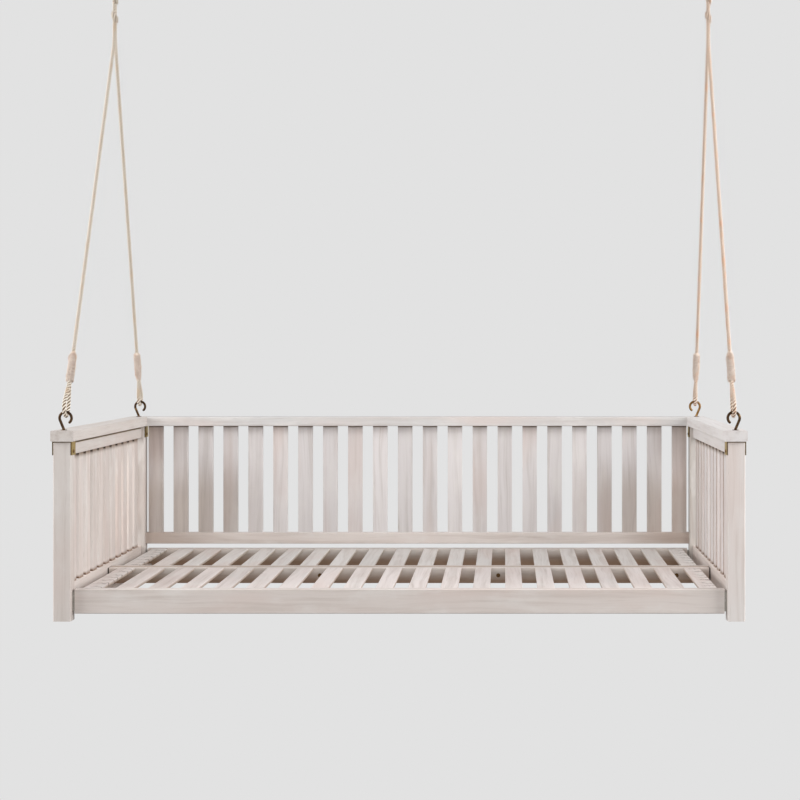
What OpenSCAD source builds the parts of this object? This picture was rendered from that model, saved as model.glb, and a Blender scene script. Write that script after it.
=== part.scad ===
// Hanging swing bed: a slatted daybed frame for a twin mattress, hung by two
// forked ropes from four open hooks on its posts and two ceiling hangers.
// Millimetres, +Z up, +X along the bed, +Y towards the back.
// The origin is in the ceiling plane, midway between the two hangers.

/* [Frame] */
// Clear length between the posts of the two arms
clear_length = 1924; // [1850:2:2000]
// Depth over the faces of the front and rear posts
frame_depth = 1055; // [980:5:1150]
// Height of the posts, up to the straps
post_height = 524; // [480:2:600]
// Width of the posts, along the bed
post_width = 51; // [47:1:60]
// Depth of the posts, across the bed
post_depth = 48; // [46:1:60]
// Chamfer along the edges of posts, rails and caps
edge_ease = 2; // [1:0.5:3]

/* [Rails and caps] */
// Thickness of the rails of the sides and the back
rail_thickness = 28; // [24:1:32]
// Distance from the rear face of the rear posts to the rail of the back
back_rail_setback = 3; // [1:0.5:6]
// Width of the caps on the arms and the back
cap_width = 68; // [66:1:80]
// Overhang of the arm caps over the outer faces of the posts
cap_outer_overhang = 6; // [4:0.5:8]
// Overhang of the caps over the front and rear faces of the posts
cap_end_overhang = 8; // [4:0.5:10]
// Thickness of the caps
cap_thickness = 32; // [26:1:40]
// Height of the top rail of each side
side_top_rail_height = 36; // [30:1:50]
// Height of the bottom rail of each side
side_bottom_rail_height = 84; // [76:1:100]
// Height of the bottom rail of the back
back_rail_height = 39; // [34:1:60]
// Gap between the seat and the bottom rail of the back
back_rail_gap = 18; // [10:1:30]
// Thickness of the four rails of the seat
seat_rail_thickness = 30; // [26:1:34]
// Height of the front and rear rails of the seat
seat_rail_height = 72; // [66:1:90]
// Height of the two middle rails of the seat
middle_rail_height = 50; // [44:1:56]
// Distance from the face of the front posts to the front rail of the seat
seat_front_setback = 20; // [12:1:20]
// Gap between the ends of the middle rails and the sides
middle_rail_end_gap = 4; // [2:1:14]
// Height of the lowest rails above the feet
foot_clearance = 20; // [10:1:40]
// Distance from the top of the posts down to the side rails
cap_shadow_gap = 3; // [2:0.5:8]

/* [Slats] */
// Width of every slat
slat_width = 51; // [44:1:56]
// Thickness of the slats of the back and the sides
slat_thickness = 18; // [15:1:22]
// Thickness of the slats of the seat
deck_slat_thickness = 11; // [10:1:16]
// Number of slats in the back
back_slat_count = 22; // [18:1:24]
// Number of slats in each side
side_slat_count = 11; // [9:1:12]
// Number of slats in each half of the seat
deck_slat_count = 20; // [16:1:22]
// Gap between the end slats of the back and the posts
back_slat_end_gap = 9.5; // [5:0.5:20]
// Gap between the end slats of the seat and the posts
deck_slat_end_gap = 24.5; // [15:0.5:40]

/* [Joinery] */
// Thickness of the tenons of the back and side slats
slat_tenon_thickness = 10; // [8:1:12]
// Thickness of the tenons of the seat slats
deck_tenon_thickness = 6; // [5:1:8]
// Depth of the slat tenons in their rails
slat_tenon_length = 10; // [8:0.5:10.5]
// Thickness of the rail tenons
rail_tenon_thickness = 14; // [10:1:18]
// Depth of the rail tenons in the posts
rail_tenon_length = 10; // [8:0.5:11]
// Shoulder above and below each rail tenon
rail_tenon_shoulder = 7; // [5:1:9]
// Clearance round every tenon and dowel
joint_clearance = 0.2; // [0.1:0.05:0.4]
// Diameter of the dowels between the caps
dowel_diameter = 10; // [8:1:12]
// Length of the dowels between the caps
dowel_length = 60; // [40:2:80]
// Distance between the two dowels of one joint
dowel_spacing = 40; // [38:1:46]

/* [Seat support] */
// Height of the cleats on the sides, which carry the middle rails
cleat_height = 20; // [16:1:22]
// Width of the cleats
cleat_width = 38; // [34:1:44]
// Gap between the cleats and the posts
cleat_end_gap = 4; // [2:1:10]
// Number of screws in each cleat
cleat_screw_count = 4; // [3:1:6]
// Thickness of each steel plate between a seat rail and a post
hook_plate_thickness = 3.5; // [2.5:0.5:4]
// Height of the steel plates
hook_plate_height = 58; // [50:1:64]
// Height of the two hooks of a plate
plate_hook_height = 14; // [10:1:18]
// Width of the two hooks of a plate
plate_hook_width = 5; // [4:0.5:8]
// Shank diameter of the bolts that join the two halves of the seat
deck_bolt_diameter = 8; // [6:1:9]
// Height of the bolts above the lower edge of the middle rails
deck_bolt_height = 25; // [20:1:26]

/* [Straps] */
// Thickness of the steel straps over the posts
strap_thickness = 3; // [2:0.5:5]
// Length of the strap legs down the posts
strap_leg_length = 40; // [34:1:60]
// Height of the strap screw above the end of the leg
strap_screw_height = 11; // [9:1:14]
// Shank diameter of the strap screws
strap_screw_diameter = 5; // [4:0.5:6]
// Length of the strap screws in the wood
strap_screw_length = 18; // [12:1:20]

/* [Bed hooks] */
// Diameter of the hook rod
hook_rod = 8; // [7:0.5:10]
// Radius of the hook bowl, to the middle of the rod
hook_radius = 17.5; // [16:0.5:22]
// Height of the middle of the bowl above the cap
hook_height = 36; // [34:1:44]
// Distance of the middle of the bowl from the hook's shank
hook_offset = 5; // [3:0.5:8]
// Angle of the hook's tip below the middle of the bowl
hook_tip_angle = 47; // [35:1:52]
// Depth of the nut pocket in the top of the post
nut_pocket_depth = 22; // [18:1:30]
// Diameter of the nut pocket in the top of the post
nut_pocket_diameter = 22; // [21:0.5:24]
// Width of the hook nuts across the flats
nut_flats = 13; // [12:0.5:15]
// Thickness of the hook nuts
nut_thickness = 6.5; // [5:0.5:8]
// Diameter of the hook washers
washer_diameter = 18; // [16:1:22]
// Thickness of the hook washers
washer_thickness = 1.6; // [1:0.2:3]

/* [Ropes] */
// Diameter of the rope
rope_diameter = 12; // [10:0.5:12.5]
// Gap between the rope and what it hangs on
rope_gap = 0.3; // [0.2:0.1:0.5]
// Distance of the ropes' fork from the face of the front posts
fork_depth = 645; // [500:1:700]
// Height above the caps at which the two legs of a rope meet
fork_rise = 1256; // [1000:1:1500]
// Radius of the bends at the ends of each rope's eyes and top loop
eye_bend = 24; // [18:1:28]
// Length of the front eyes, from the hook rod to the whipping
front_eye_length = 98; // [90:1:120]
// Length of the rear eyes, from the hook rod to the whipping
rear_eye_length = 80; // [76:1:110]
// Length of the whipped splice above each eye
whipping_length = 100; // [80:1:120]
// Diameter of the splice inside the whipping
splice_diameter = 15; // [14:0.2:18]
// Diameter of the whipping twine
twine_diameter = 5; // [4:0.2:5.2]
// Gap between the turns of the whipping twine
twine_turn_gap = 0.6; // [0.5:0.1:1]
// Height of the lower seizing above the fork
seizing_rise = 69; // [40:1:90]
// Length of each of the two seizings above the fork
seizing_length = 26; // [20:1:32]
// Distance between the feet of the two seizings
seizing_spacing = 62; // [50:1:80]
// Diameter of the seizing twine
seizing_twine = 4; // [3:0.2:4.6]
// Length of the top loop, from the upper seizing to the hanger hook's rod
top_loop_length = 72; // [60:1:90]

/* [Ceiling hangers] */
// Length of the ceiling plates, across the bed
plate_length = 116; // [110:2:140]
// Width of the ceiling plates
plate_width = 44; // [40:1:60]
// Thickness of the ceiling plates
plate_thickness = 5; // [4:0.5:8]
// Diameter of the screw holes in the ceiling plates
plate_hole_diameter = 9; // [7:0.5:11]
// Distance between the two screw holes of a plate
plate_hole_spacing = 84; // [80:1:94]
// Thickness of the two lugs under a plate
lug_thickness = 5; // [4:0.5:8]
// Radius of the lugs round the hanger bolt
lug_radius = 13; // [11:0.5:16]
// Distance of the hanger bolt below the ceiling
hanger_bolt_drop = 22; // [20:1:30]
// Diameter of the hanger bolt
hanger_bolt_diameter = 10; // [8:0.5:12]
// Radial clearance between the hanger bolt and the hook's eye
hanger_bolt_clearance = 0.05; // [0.03:0.01:0.09]
// Width of the hanger hook's eye, along the bolt
hanger_eye_width = 13; // [10:0.5:16]
// Wall of the hanger hook's eye round the bolt
hanger_eye_wall = 6; // [5:0.5:8]
// Side clearance between the hanger hook's eye and the lugs
hanger_side_clearance = 0.5; // [0.3:0.1:1]
// Diameter of the hanger hook's rod
hanger_rod = 9; // [8:0.5:11]
// Distance from the hanger bolt to the middle of the hanger hook's bowl
hanger_hook_drop = 44; // [42:1:60]

/* [Hidden] */
$fn = 48;

wood = [0.80, 0.77, 0.74];
bronze = [0.27, 0.20, 0.14];
brass = [0.55, 0.47, 0.26];
steel = [0.45, 0.43, 0.40];
hemp = [0.86, 0.78, 0.68];
LEFT = -1;
RIGHT = 1;
FRONT = 0;
REAR = 1;

// Heights above the feet
strap_top = post_height + strap_thickness;
cap_top = strap_top + cap_thickness;
bowl_height = cap_top + hook_height;
bed_rod_height = bowl_height + hook_radius;
fork_height = cap_top + fork_rise;
lower_seizing_foot = fork_height + seizing_rise;
upper_seizing_foot = lower_seizing_foot + seizing_spacing;
loop_foot = upper_seizing_foot + seizing_length;
hanger_rod_height = loop_foot + top_loop_length;
hanger_bowl_height = hanger_rod_height + hook_radius;
hanger_bolt_height = hanger_bowl_height + hanger_hook_drop;
ceiling_height = hanger_bolt_height + hanger_bolt_drop;
rail_top_height = post_height - cap_shadow_gap;
deck_top = foot_clearance + seat_rail_height;
side_slat_foot = foot_clearance + side_bottom_rail_height;
side_slat_head = rail_top_height - side_top_rail_height;
back_rail_foot = deck_top + back_rail_gap;
back_slat_foot = back_rail_foot + back_rail_height;

// Places along and across the bed
post_inner_x = clear_length / 2;
post_middle_x = post_inner_x + post_width / 2;
rope_x = post_middle_x - hook_offset;
side_inner_x = post_middle_x - rail_thickness / 2;
side_rail_length = frame_depth - 2 * post_depth;
side_middle_y = frame_depth / 2;
front_middle_y = post_depth / 2;
rear_middle_y = frame_depth - post_depth / 2;
back_middle_y = frame_depth - back_rail_setback - rail_thickness / 2;
cap_inner_x = post_inner_x + post_width + cap_outer_overhang - cap_width;
back_cap_y = frame_depth + cap_end_overhang - cap_width / 2;
seat_middle_y = (seat_front_setback + frame_depth) / 2;
seat_rail_length = clear_length - 4 * hook_plate_thickness;
middle_rail_length = 2 * (side_inner_x - middle_rail_end_gap);
seat_slat_length = (frame_depth - seat_front_setback) / 2 - 2 * seat_rail_thickness;
shank_end = 4;
shank_depth = cap_thickness + strap_thickness + washer_thickness + nut_thickness + shank_end;

// Moves the bed's own coordinates, from the feet and the face of the front
// posts, to the part's frame in the ceiling plane.
module at_bed() {
    translate([0, -fork_depth, -ceiling_height]) children();
}

// A board with chamfered long edges, centred on its length and its section.
module board(length, width, height, ease = edge_ease) {
    a = width / 2;
    b = height / 2;
    translate([0, 0, -length / 2])
        linear_extrude(length)
            polygon([[ease - a, -b], [a - ease, -b], [a, ease - b], [a, b - ease],
                     [a - ease, b], [ease - a, b], [-a, b - ease], [-a, ease - b]]);
}
module board_x(length, depth, height, ease = edge_ease) {
    rotate([0, 90, 0]) board(length, height, depth, ease);
}
module board_y(length, width, height, ease = edge_ease) {
    rotate([-90, 0, 0]) board(length, width, height, ease);
}
module block(size) {
    cube(size, center = true);
}
module rod_x(length, diameter) {
    rotate([0, 90, 0]) cylinder(h = length, d = diameter, center = true);
}
module rod_y(length, diameter) {
    rotate([90, 0, 0]) cylinder(h = length, d = diameter, center = true);
}

// ---- Posts -----------------------------------------------------------
function post_y(row) = row == FRONT ? front_middle_y : rear_middle_y;
function toward_middle(row) = row == FRONT ? 1 : -1;

// The tenon of a rail of the given height, or its mortise when grown.
module rail_tenon_y(height, grow) {
    block([rail_tenon_thickness + 2 * grow, 2 * (rail_tenon_length + grow),
           height - 2 * rail_tenon_shoulder + 2 * grow]);
}
module rail_tenon_x(height, grow) {
    block([2 * (rail_tenon_length + grow), rail_tenon_thickness + 2 * grow,
           height - 2 * rail_tenon_shoulder + 2 * grow]);
}
module post(side, row) {
    inward = toward_middle(row);
    color(wood) at_bed() translate([side * post_middle_x, post_y(row), 0])
        difference() {
            translate([0, 0, post_height / 2]) board(post_height, post_width, post_depth);
            translate([0, inward * post_depth / 2, rail_top_height - side_top_rail_height / 2])
                rail_tenon_y(side_top_rail_height, joint_clearance);
            translate([0, inward * post_depth / 2, foot_clearance + side_bottom_rail_height / 2])
                rail_tenon_y(side_bottom_rail_height, joint_clearance);
            if (row == REAR)
                translate([-side * post_width / 2, back_middle_y - rear_middle_y,
                           back_rail_foot + back_rail_height / 2])
                    rail_tenon_x(back_rail_height, joint_clearance);
            translate([0, 0, post_height - nut_pocket_depth])
                cylinder(h = nut_pocket_depth + 1, d = nut_pocket_diameter);
            for (face = [-1, 1])
                translate([face * (post_width - strap_screw_length) / 2, 0, strap_screw_z])
                    rod_x(strap_screw_length + 0.02, strap_screw_diameter);
        }
}

// ---- Caps -------------------------------------------------------------
dowel_z = strap_top + cap_thickness / 2;
module cap_dowel_set(grow) {
    for (side = [LEFT, RIGHT], step = [-0.5, 0.5])
        translate([side * cap_inner_x, back_cap_y + step * dowel_spacing, dowel_z])
            rod_x(dowel_length + 2 * grow, dowel_diameter + 2 * grow);
}
module arm_cap(side) {
    color(wood) at_bed() difference() {
        translate([side * (cap_inner_x + cap_width / 2), side_middle_y,
                   strap_top + cap_thickness / 2])
            board_y(frame_depth + 2 * cap_end_overhang, cap_width, cap_thickness);
        for (row = [FRONT, REAR])
            translate([side * post_middle_x, post_y(row), strap_top - 1])
                cylinder(h = cap_thickness + 2, d = hook_rod + 2 * joint_clearance);
        cap_dowel_set(joint_clearance);
    }
}
module back_cap() {
    color(wood) at_bed() difference() {
        translate([0, back_cap_y, strap_top + cap_thickness / 2])
            board_x(2 * cap_inner_x, cap_width, cap_thickness);
        back_slat_tenons(joint_clearance);
        cap_dowel_set(joint_clearance);
    }
}
module cap_dowels() {
    color(wood) at_bed() cap_dowel_set(0);
}

// ---- Sides --------------------------------------------------------------
side_slat_gap = (side_rail_length - side_slat_count * slat_width) / (side_slat_count + 1);
side_slat_pitch = slat_width + side_slat_gap;
function side_slat_y(i) = post_depth + side_slat_gap + slat_width / 2 + i * side_slat_pitch;
slat_tenon_shoulder = 6;
slat_tenon_width = slat_width - 2 * slat_tenon_shoulder;
slat_ease = 1.5;

module side_slat_tenons(side, grow) {
    for (i = [0 : side_slat_count - 1], z = [side_slat_foot, side_slat_head])
        translate([side * post_middle_x, side_slat_y(i), z])
            block([slat_tenon_thickness + 2 * grow, slat_tenon_width + 2 * grow,
                   2 * (slat_tenon_length + grow)]);
}
module side_rail(side, foot, height) {
    color(wood) at_bed() difference() {
        translate([side * post_middle_x, side_middle_y, foot + height / 2]) {
            board_y(side_rail_length, rail_thickness, height);
            for (end = [-1, 1])
                translate([0, end * side_rail_length / 2, 0]) rail_tenon_y(height, 0);
        }
        side_slat_tenons(side, joint_clearance);
        cleat_screw_holes(side);
    }
}
module side_slats(side) {
    slat_height = side_slat_head - side_slat_foot;
    color(wood) at_bed() union() {
        for (i = [0 : side_slat_count - 1])
            translate([side * post_middle_x, side_slat_y(i), side_slat_foot + slat_height / 2])
                board(slat_height, slat_thickness, slat_width, slat_ease);
        side_slat_tenons(side, 0);
    }
}

// ---- Back ---------------------------------------------------------------
back_slat_pitch = (clear_length - 2 * back_slat_end_gap - slat_width) / (back_slat_count - 1);
function back_slat_x(i) = back_slat_end_gap + slat_width / 2 - post_inner_x + i * back_slat_pitch;
module back_slat_tenons(grow) {
    for (i = [0 : back_slat_count - 1], z = [back_slat_foot, strap_top])
        translate([back_slat_x(i), back_middle_y, z])
            block([slat_tenon_width + 2 * grow, slat_tenon_thickness + 2 * grow,
                   2 * (slat_tenon_length + grow)]);
}
module back_slats() {
    slat_height = strap_top - back_slat_foot;
    color(wood) at_bed() union() {
        for (i = [0 : back_slat_count - 1])
            translate([back_slat_x(i), back_middle_y, back_slat_foot + slat_height / 2])
                board(slat_height, slat_width, slat_thickness, slat_ease);
        back_slat_tenons(0);
    }
}
module back_bottom_rail() {
    color(wood) at_bed() difference() {
        translate([0, back_middle_y, back_rail_foot + back_rail_height / 2]) {
            board_x(clear_length, rail_thickness, back_rail_height);
            for (end = [-1, 1])
                translate([end * clear_length / 2, 0, 0]) rail_tenon_x(back_rail_height, 0);
        }
        back_slat_tenons(joint_clearance);
    }
}

// ---- Seat ---------------------------------------------------------------
deck_slat_pitch = (clear_length - 2 * deck_slat_end_gap - slat_width) / (deck_slat_count - 1);
function deck_slat_x(i) = deck_slat_end_gap + slat_width / 2 - post_inner_x + i * deck_slat_pitch;
seat_rail_z = foot_clearance + seat_rail_height / 2;
middle_rail_foot = deck_top - middle_rail_height;
deck_bolt_z = middle_rail_foot + deck_bolt_height;
// The bolts stand in gaps between slats.
deck_bolt_x = [for (gap = [-9, -3, 3, 9]) gap * deck_slat_pitch];
bolt_head_diameter = 1.625 * deck_bolt_diameter;
bolt_head_height = 6;
nut_seat_diameter = 18;
nut_seat_depth = 8;
function seat_slat_y(half) = seat_middle_y
    + (half == FRONT ? -1 : 1) * (seat_rail_thickness + seat_slat_length / 2);

module seat_slat_tenons(half, grow) {
    for (i = [0 : deck_slat_count - 1], end = [-0.5, 0.5])
        translate([deck_slat_x(i), seat_slat_y(half) + end * seat_slat_length,
                   deck_top - deck_slat_thickness / 2])
            block([slat_tenon_width + 2 * grow, 2 * (slat_tenon_length + grow),
                   deck_tenon_thickness + 2 * grow]);
}
module seat_slats(half) {
    color(wood) at_bed() union() {
        for (i = [0 : deck_slat_count - 1])
            translate([deck_slat_x(i), seat_slat_y(half), deck_top - deck_slat_thickness / 2])
                board_y(seat_slat_length, slat_width, deck_slat_thickness, slat_ease);
        seat_slat_tenons(half, 0);
    }
}
function seat_rail_y(half) = half == FRONT ? seat_front_setback + seat_rail_thickness / 2
                                           : frame_depth - seat_rail_thickness / 2;
module seat_end_rail(half) {
    color(wood) at_bed() difference() {
        translate([0, seat_rail_y(half), seat_rail_z])
            board_x(seat_rail_length, seat_rail_thickness, seat_rail_height);
        seat_slat_tenons(half, joint_clearance);
    }
}
module seat_middle_rail(half) {
    side = half == FRONT ? -1 : 1;
    pocket_depth = half == FRONT ? bolt_head_height : nut_seat_depth;
    pocket_diameter = half == FRONT ? bolt_head_diameter + 1 : nut_seat_diameter;
    color(wood) at_bed() difference() {
        translate([0, seat_middle_y + side * seat_rail_thickness / 2,
                   deck_top - middle_rail_height / 2])
            board_x(middle_rail_length, seat_rail_thickness, middle_rail_height);
        seat_slat_tenons(half, joint_clearance);
        for (x = deck_bolt_x)
            translate([x, seat_middle_y, deck_bolt_z]) {
                rod_y(3 * seat_rail_thickness, deck_bolt_diameter + 2 * joint_clearance);
                translate([0, side * seat_rail_thickness, 0])
                    rod_y(2 * pocket_depth, pocket_diameter);
            }
    }
}
module seat_joining_bolts() {
    head_y = seat_middle_y - seat_rail_thickness;
    shank_length = 2 * seat_rail_thickness - bolt_head_height - 1;
    color(bronze) at_bed() for (x = deck_bolt_x)
        translate([x, head_y, deck_bolt_z]) difference() {
            union() {
                translate([0, bolt_head_height / 2, 0])
                    rod_y(bolt_head_height, bolt_head_diameter);
                translate([0, bolt_head_height + shank_length / 2, 0])
                    rod_y(shank_length, deck_bolt_diameter);
            }
            rotate([90, 0, 0])
                cylinder(h = bolt_head_height, d = deck_bolt_diameter * 0.8,
                         center = true, $fn = 6);
        }
}
module seat_joining_nuts() {
    color(steel) at_bed() for (x = deck_bolt_x)
        translate([x, seat_middle_y + seat_rail_thickness - nut_seat_depth + nut_thickness / 2,
                   deck_bolt_z])
            rotate([90, 0, 0]) difference() {
                cylinder(h = nut_thickness, d = nut_flats / cos(30), center = true, $fn = 6);
                cylinder(h = nut_thickness + 2, d = deck_bolt_diameter, center = true);
            }
}
cleat_length = side_rail_length - 2 * cleat_end_gap;
cleat_z = middle_rail_foot - cleat_height / 2;
cleat_screw_pitch = cleat_length / cleat_screw_count;
cleat_face_x = side_inner_x - cleat_width;
function cleat_screw_y(i) = side_middle_y + (i - (cleat_screw_count - 1) / 2) * cleat_screw_pitch;
module cleat(side) {
    color(wood) at_bed() difference() {
        translate([side * (side_inner_x - cleat_width / 2), side_middle_y, cleat_z])
            board_y(cleat_length, cleat_width, cleat_height);
        for (i = [0 : cleat_screw_count - 1])
            translate([side * side_inner_x, cleat_screw_y(i), cleat_z])
                rod_x(3 * cleat_width, strap_screw_diameter + 2 * joint_clearance);
    }
}
module cleat_screw_holes(side) {
    for (i = [0 : cleat_screw_count - 1])
        translate([side * side_inner_x, cleat_screw_y(i), cleat_z])
            rod_x(2 * strap_screw_length, strap_screw_diameter);
}
module cleat_screws() {
    color(steel) at_bed() for (side = [LEFT, RIGHT], i = [0 : cleat_screw_count - 1])
        translate([side * cleat_face_x, cleat_screw_y(i), cleat_z])
            rotate([0, -side * 90, 0]) screw(cleat_width + strap_screw_length);
}

// Steel plates between the seat rails and the posts: the plate on the post has
// two slots, and the hooks of the plate on the rail sit in them.
plate_hook_z = [-0.25, 0.25] * hook_plate_height;
plate_width_y = seat_rail_thickness - 2 * edge_ease;
module hook_plates_at(offset) {
    for (side = [LEFT, RIGHT], half = [FRONT, REAR])
        translate([side * (post_inner_x - offset - hook_plate_thickness / 2),
                   seat_rail_y(half), seat_rail_z]) children();
}
module plate_hooks(depth, grow) {
    for (z = plate_hook_z)
        translate([0, 0, z])
            block([depth, plate_hook_width + 2 * grow, plate_hook_height + 2 * grow]);
}
module hook_plates_posts() {
    color(steel) at_bed() hook_plates_at(0) difference() {
        block([hook_plate_thickness, plate_width_y, hook_plate_height]);
        plate_hooks(2 * hook_plate_thickness, joint_clearance);
    }
}
module hook_plates_seat() {
    color(steel) at_bed() {
        hook_plates_at(hook_plate_thickness)
            block([hook_plate_thickness, plate_width_y, hook_plate_height]);
        hook_plates_at(0) plate_hooks(hook_plate_thickness, 0);
    }
}

// ---- Straps over the posts ------------------------------------------------
strap_screw_z = strap_top - strap_leg_length + strap_screw_height;
screw_head_diameter = 2 * strap_screw_diameter;
screw_head_height = 2.4;
module strap(side, row) {
    width = post_width + 2 * strap_thickness;
    depth = post_depth - edge_ease;
    leg_z = strap_top - strap_leg_length / 2;
    color(brass) at_bed() translate([side * post_middle_x, post_y(row), 0])
        difference() {
            union() {
                translate([0, 0, strap_top - strap_thickness / 2])
                    block([width, depth, strap_thickness]);
                for (face = [-1, 1])
                    translate([face * (width - strap_thickness) / 2, 0, leg_z])
                        block([strap_thickness, depth, strap_leg_length]);
            }
            translate([0, 0, post_height - 1])
                cylinder(h = strap_thickness + 2, d = hook_rod + 2 * joint_clearance);
            translate([0, 0, strap_screw_z])
                rod_x(width + 2, strap_screw_diameter + 2 * joint_clearance);
        }
}
// A round-headed screw; its head stands on the plane z = 0, its shank below.
module screw(shank) {
    rotate_extrude() polygon([[0, -shank], [strap_screw_diameter / 2, -shank],
        [strap_screw_diameter / 2, 0], [screw_head_diameter / 2, 0],
        [screw_head_diameter / 2, screw_head_height / 3],
        [screw_head_diameter / 3, screw_head_height], [0, screw_head_height]]);
}
module strap_screws() {
    face_x = post_width / 2 + strap_thickness;
    color(bronze) at_bed()
        for (side = [LEFT, RIGHT], row = [FRONT, REAR], face = [-1, 1])
            translate([side * post_middle_x + face * face_x, post_y(row), strap_screw_z])
                rotate([0, face * 90, 0]) screw(strap_screw_length + strap_thickness);
}

// ---- Hooks --------------------------------------------------------------------
// An arc of rod in the XZ plane, from angle a to angle b, counterclockwise.
module rod_arc(rod, radius, a, b) {
    rotate([90, 0, 0]) rotate([0, 0, a])
        rotate_extrude(angle = b - a) translate([radius, 0]) circle(d = rod);
}
// An open hook that stands on the origin. The middle of its bowl lies at the
// given offset and height, and its stem meets the bowl on a tangent, where a
// ball a little larger than the rod joins the two.
weld = 0.1;
module open_hook(rod, offset, height) {
    reach = norm([offset, height]);
    stem_meets = 270 - atan(offset / height) - acos(hook_radius / reach);
    stem_length = sqrt(reach * reach - hook_radius * hook_radius);
    translate([offset, 0, height]) {
        rod_arc(rod, hook_radius, -hook_tip_angle, stem_meets);
        rotate([0, hook_tip_angle, 0]) translate([hook_radius, 0, 0]) sphere(d = rod);
        rotate([0, -stem_meets, 0]) translate([hook_radius, 0, 0]) {
            sphere(d = rod + weld);
            cylinder(h = stem_length, d = rod);
        }
    }
}

// ---- Bed hooks ------------------------------------------------------------------
// The shank runs straight up through the washer, and a little way into the
// stem, which leans out.
stem_rise = washer_thickness + 1;
stem_overlap = 1.4;
module hook(side, row) {
    color(bronze) at_bed() translate([side * post_middle_x, post_y(row), cap_top])
        rotate([0, 0, side == RIGHT ? 180 : 0]) {
            translate([0, 0, stem_rise])
                open_hook(hook_rod, hook_offset, hook_height - stem_rise);
            translate([0, 0, -shank_depth])
                cylinder(h = shank_depth + stem_rise + stem_overlap, d = hook_rod);
        }
}
module ring_disc(outer, inner, thickness) {
    difference() {
        cylinder(h = thickness, d = outer);
        translate([0, 0, -1]) cylinder(h = thickness + 2, d = inner);
    }
}
module hook_washers() {
    color(bronze) at_bed() for (side = [LEFT, RIGHT], row = [FRONT, REAR])
        for (z = [cap_top, post_height - washer_thickness])
            translate([side * post_middle_x, post_y(row), z])
                ring_disc(washer_diameter, hook_rod + 2 * joint_clearance, washer_thickness);
}
module hook_nuts() {
    color(steel) at_bed() for (side = [LEFT, RIGHT], row = [FRONT, REAR])
        translate([side * post_middle_x, post_y(row),
                   post_height - washer_thickness - nut_thickness])
            difference() {
                cylinder(h = nut_thickness, d = nut_flats / cos(30), $fn = 6);
                translate([0, 0, -1]) cylinder(h = nut_thickness + 2, d = hook_rod);
            }
}

// ---- Ropes ------------------------------------------------------------------
function unit(v) = v / norm(v);
function direction(path, i) =
    unit(path[min(i + 1, len(path) - 1)] - path[max(i - 1, 0)]);
function smooth(t) = t * t * (3 - 2 * t);
// Round tube along a path; sides_at holds one vector per point, which lies
// square to the path and starts each ring.
module tube(path, sides_at, radii, facets) {
    last = len(path) - 1;
    points = [for (i = [0 : last]) let (t = direction(path, i), u = unit(sides_at[i]),
                  w = unit(cross(t, u)))
              for (k = [0 : facets - 1]) let (a = 360 * k / facets)
                  path[i] + radii[i] * (cos(a) * unit(cross(w, t)) + sin(a) * w)];
    walls = [for (i = [0 : last - 1], k = [0 : facets - 1])
             let (n = (k + 1) % facets, a = i * facets)
             each [[a + k, a + facets + k, a + n], [a + n, a + facets + k, a + facets + n]]];
    ends = [[for (k = [0 : facets - 1]) k],
            [for (k = [facets - 1 : -1 : 0]) last * facets + k]];
    polyhedron(points, concat(ends, walls));
}
module flat_tube(path, radii, facets = 10) {
    tube(path, [for (p = path) [1, 0, 0]], radii, facets);
}

// Distance from a rod's middle to the middle of the rope that bears on it
bed_turn = (hook_rod + rope_diameter) / 2 + rope_gap;
hanger_turn = (hanger_rod + rope_diameter) / 2 + rope_gap;
// Half the distance between two ropes that lie side by side in a seizing
pair_offset = (rope_diameter + rope_gap) / 2;
rope_radius = rope_diameter / 2;
splice_taper = 30;
function eye_length(row) = row == FRONT ? front_eye_length : rear_eye_length;

// A leg runs from its bed hook to the fork, in the plane of the two hooks.
function leg_side(row) = row == FRONT ? -1 : 1;
function leg_foot(row) = [0, post_y(row) - fork_depth, bed_rod_height - ceiling_height];
function leg_head(row) = [0, leg_side(row) * pair_offset, fork_height - ceiling_height];
function leg_way(row) = unit(leg_head(row) - leg_foot(row));
function leg_span(row) = norm(leg_head(row) - leg_foot(row));
function leg_across(row) = cross(leg_way(row), [1, 0, 0]);
function on_leg(row, along, across = 0) =
    leg_foot(row) + along * leg_way(row) + across * leg_across(row);

// Half of a rope: the splice, its taper, the plain leg, the bend at the fork,
// the upright stretch through the seizings, and one side of the top loop.
fork_bend = 30;
splice_radius = splice_diameter / 2;
taper_steps = [0, 0.33, 0.66, 1];
function leg_path(row) = concat([on_leg(row, eye_length(row))],
    [for (t = taper_steps) on_leg(row, eye_length(row) + whipping_length + t * splice_taper)]);
leg_radii = concat(splice_radius,
    [for (t = taper_steps) splice_radius + (rope_radius - splice_radius) * smooth(t)]);
function mixed(a, b, t) = a + (b - a) * t;
function bend_point(row, t) = let (head = leg_head(row))
    mixed(mixed(on_leg(row, leg_span(row) - fork_bend), head, t),
          mixed(head, head + [0, 0, fork_bend], t), t);
loop_foot_z = loop_foot - ceiling_height;
loop_middle_z = hanger_rod_height - ceiling_height + hanger_turn - eye_bend;
function loop_side(row) = [for (t = [0 : 0.25 : 0.75])
    [0, leg_side(row) * mixed(pair_offset, eye_bend, smooth(t)),
     mixed(loop_foot_z, loop_middle_z, t)]];
function half_rope(row) = concat(leg_path(row),
    [for (t = [0 : 0.25 : 1]) bend_point(row, t)], loop_side(row));
function turned(list) = [for (i = [len(list) - 1 : -1 : 0]) list[i]];
top_turn = [for (a = [180 : -20 : 0])
    [0, eye_bend * cos(a), loop_middle_z + eye_bend * sin(a)]];
rope_path = concat(half_rope(FRONT), top_turn, turned(half_rope(REAR)));
plain_rings = len(rope_path) - 2 * len(leg_radii);
rope_radii = concat(leg_radii, [for (i = [1 : plain_rings]) rope_radius], turned(leg_radii));

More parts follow.
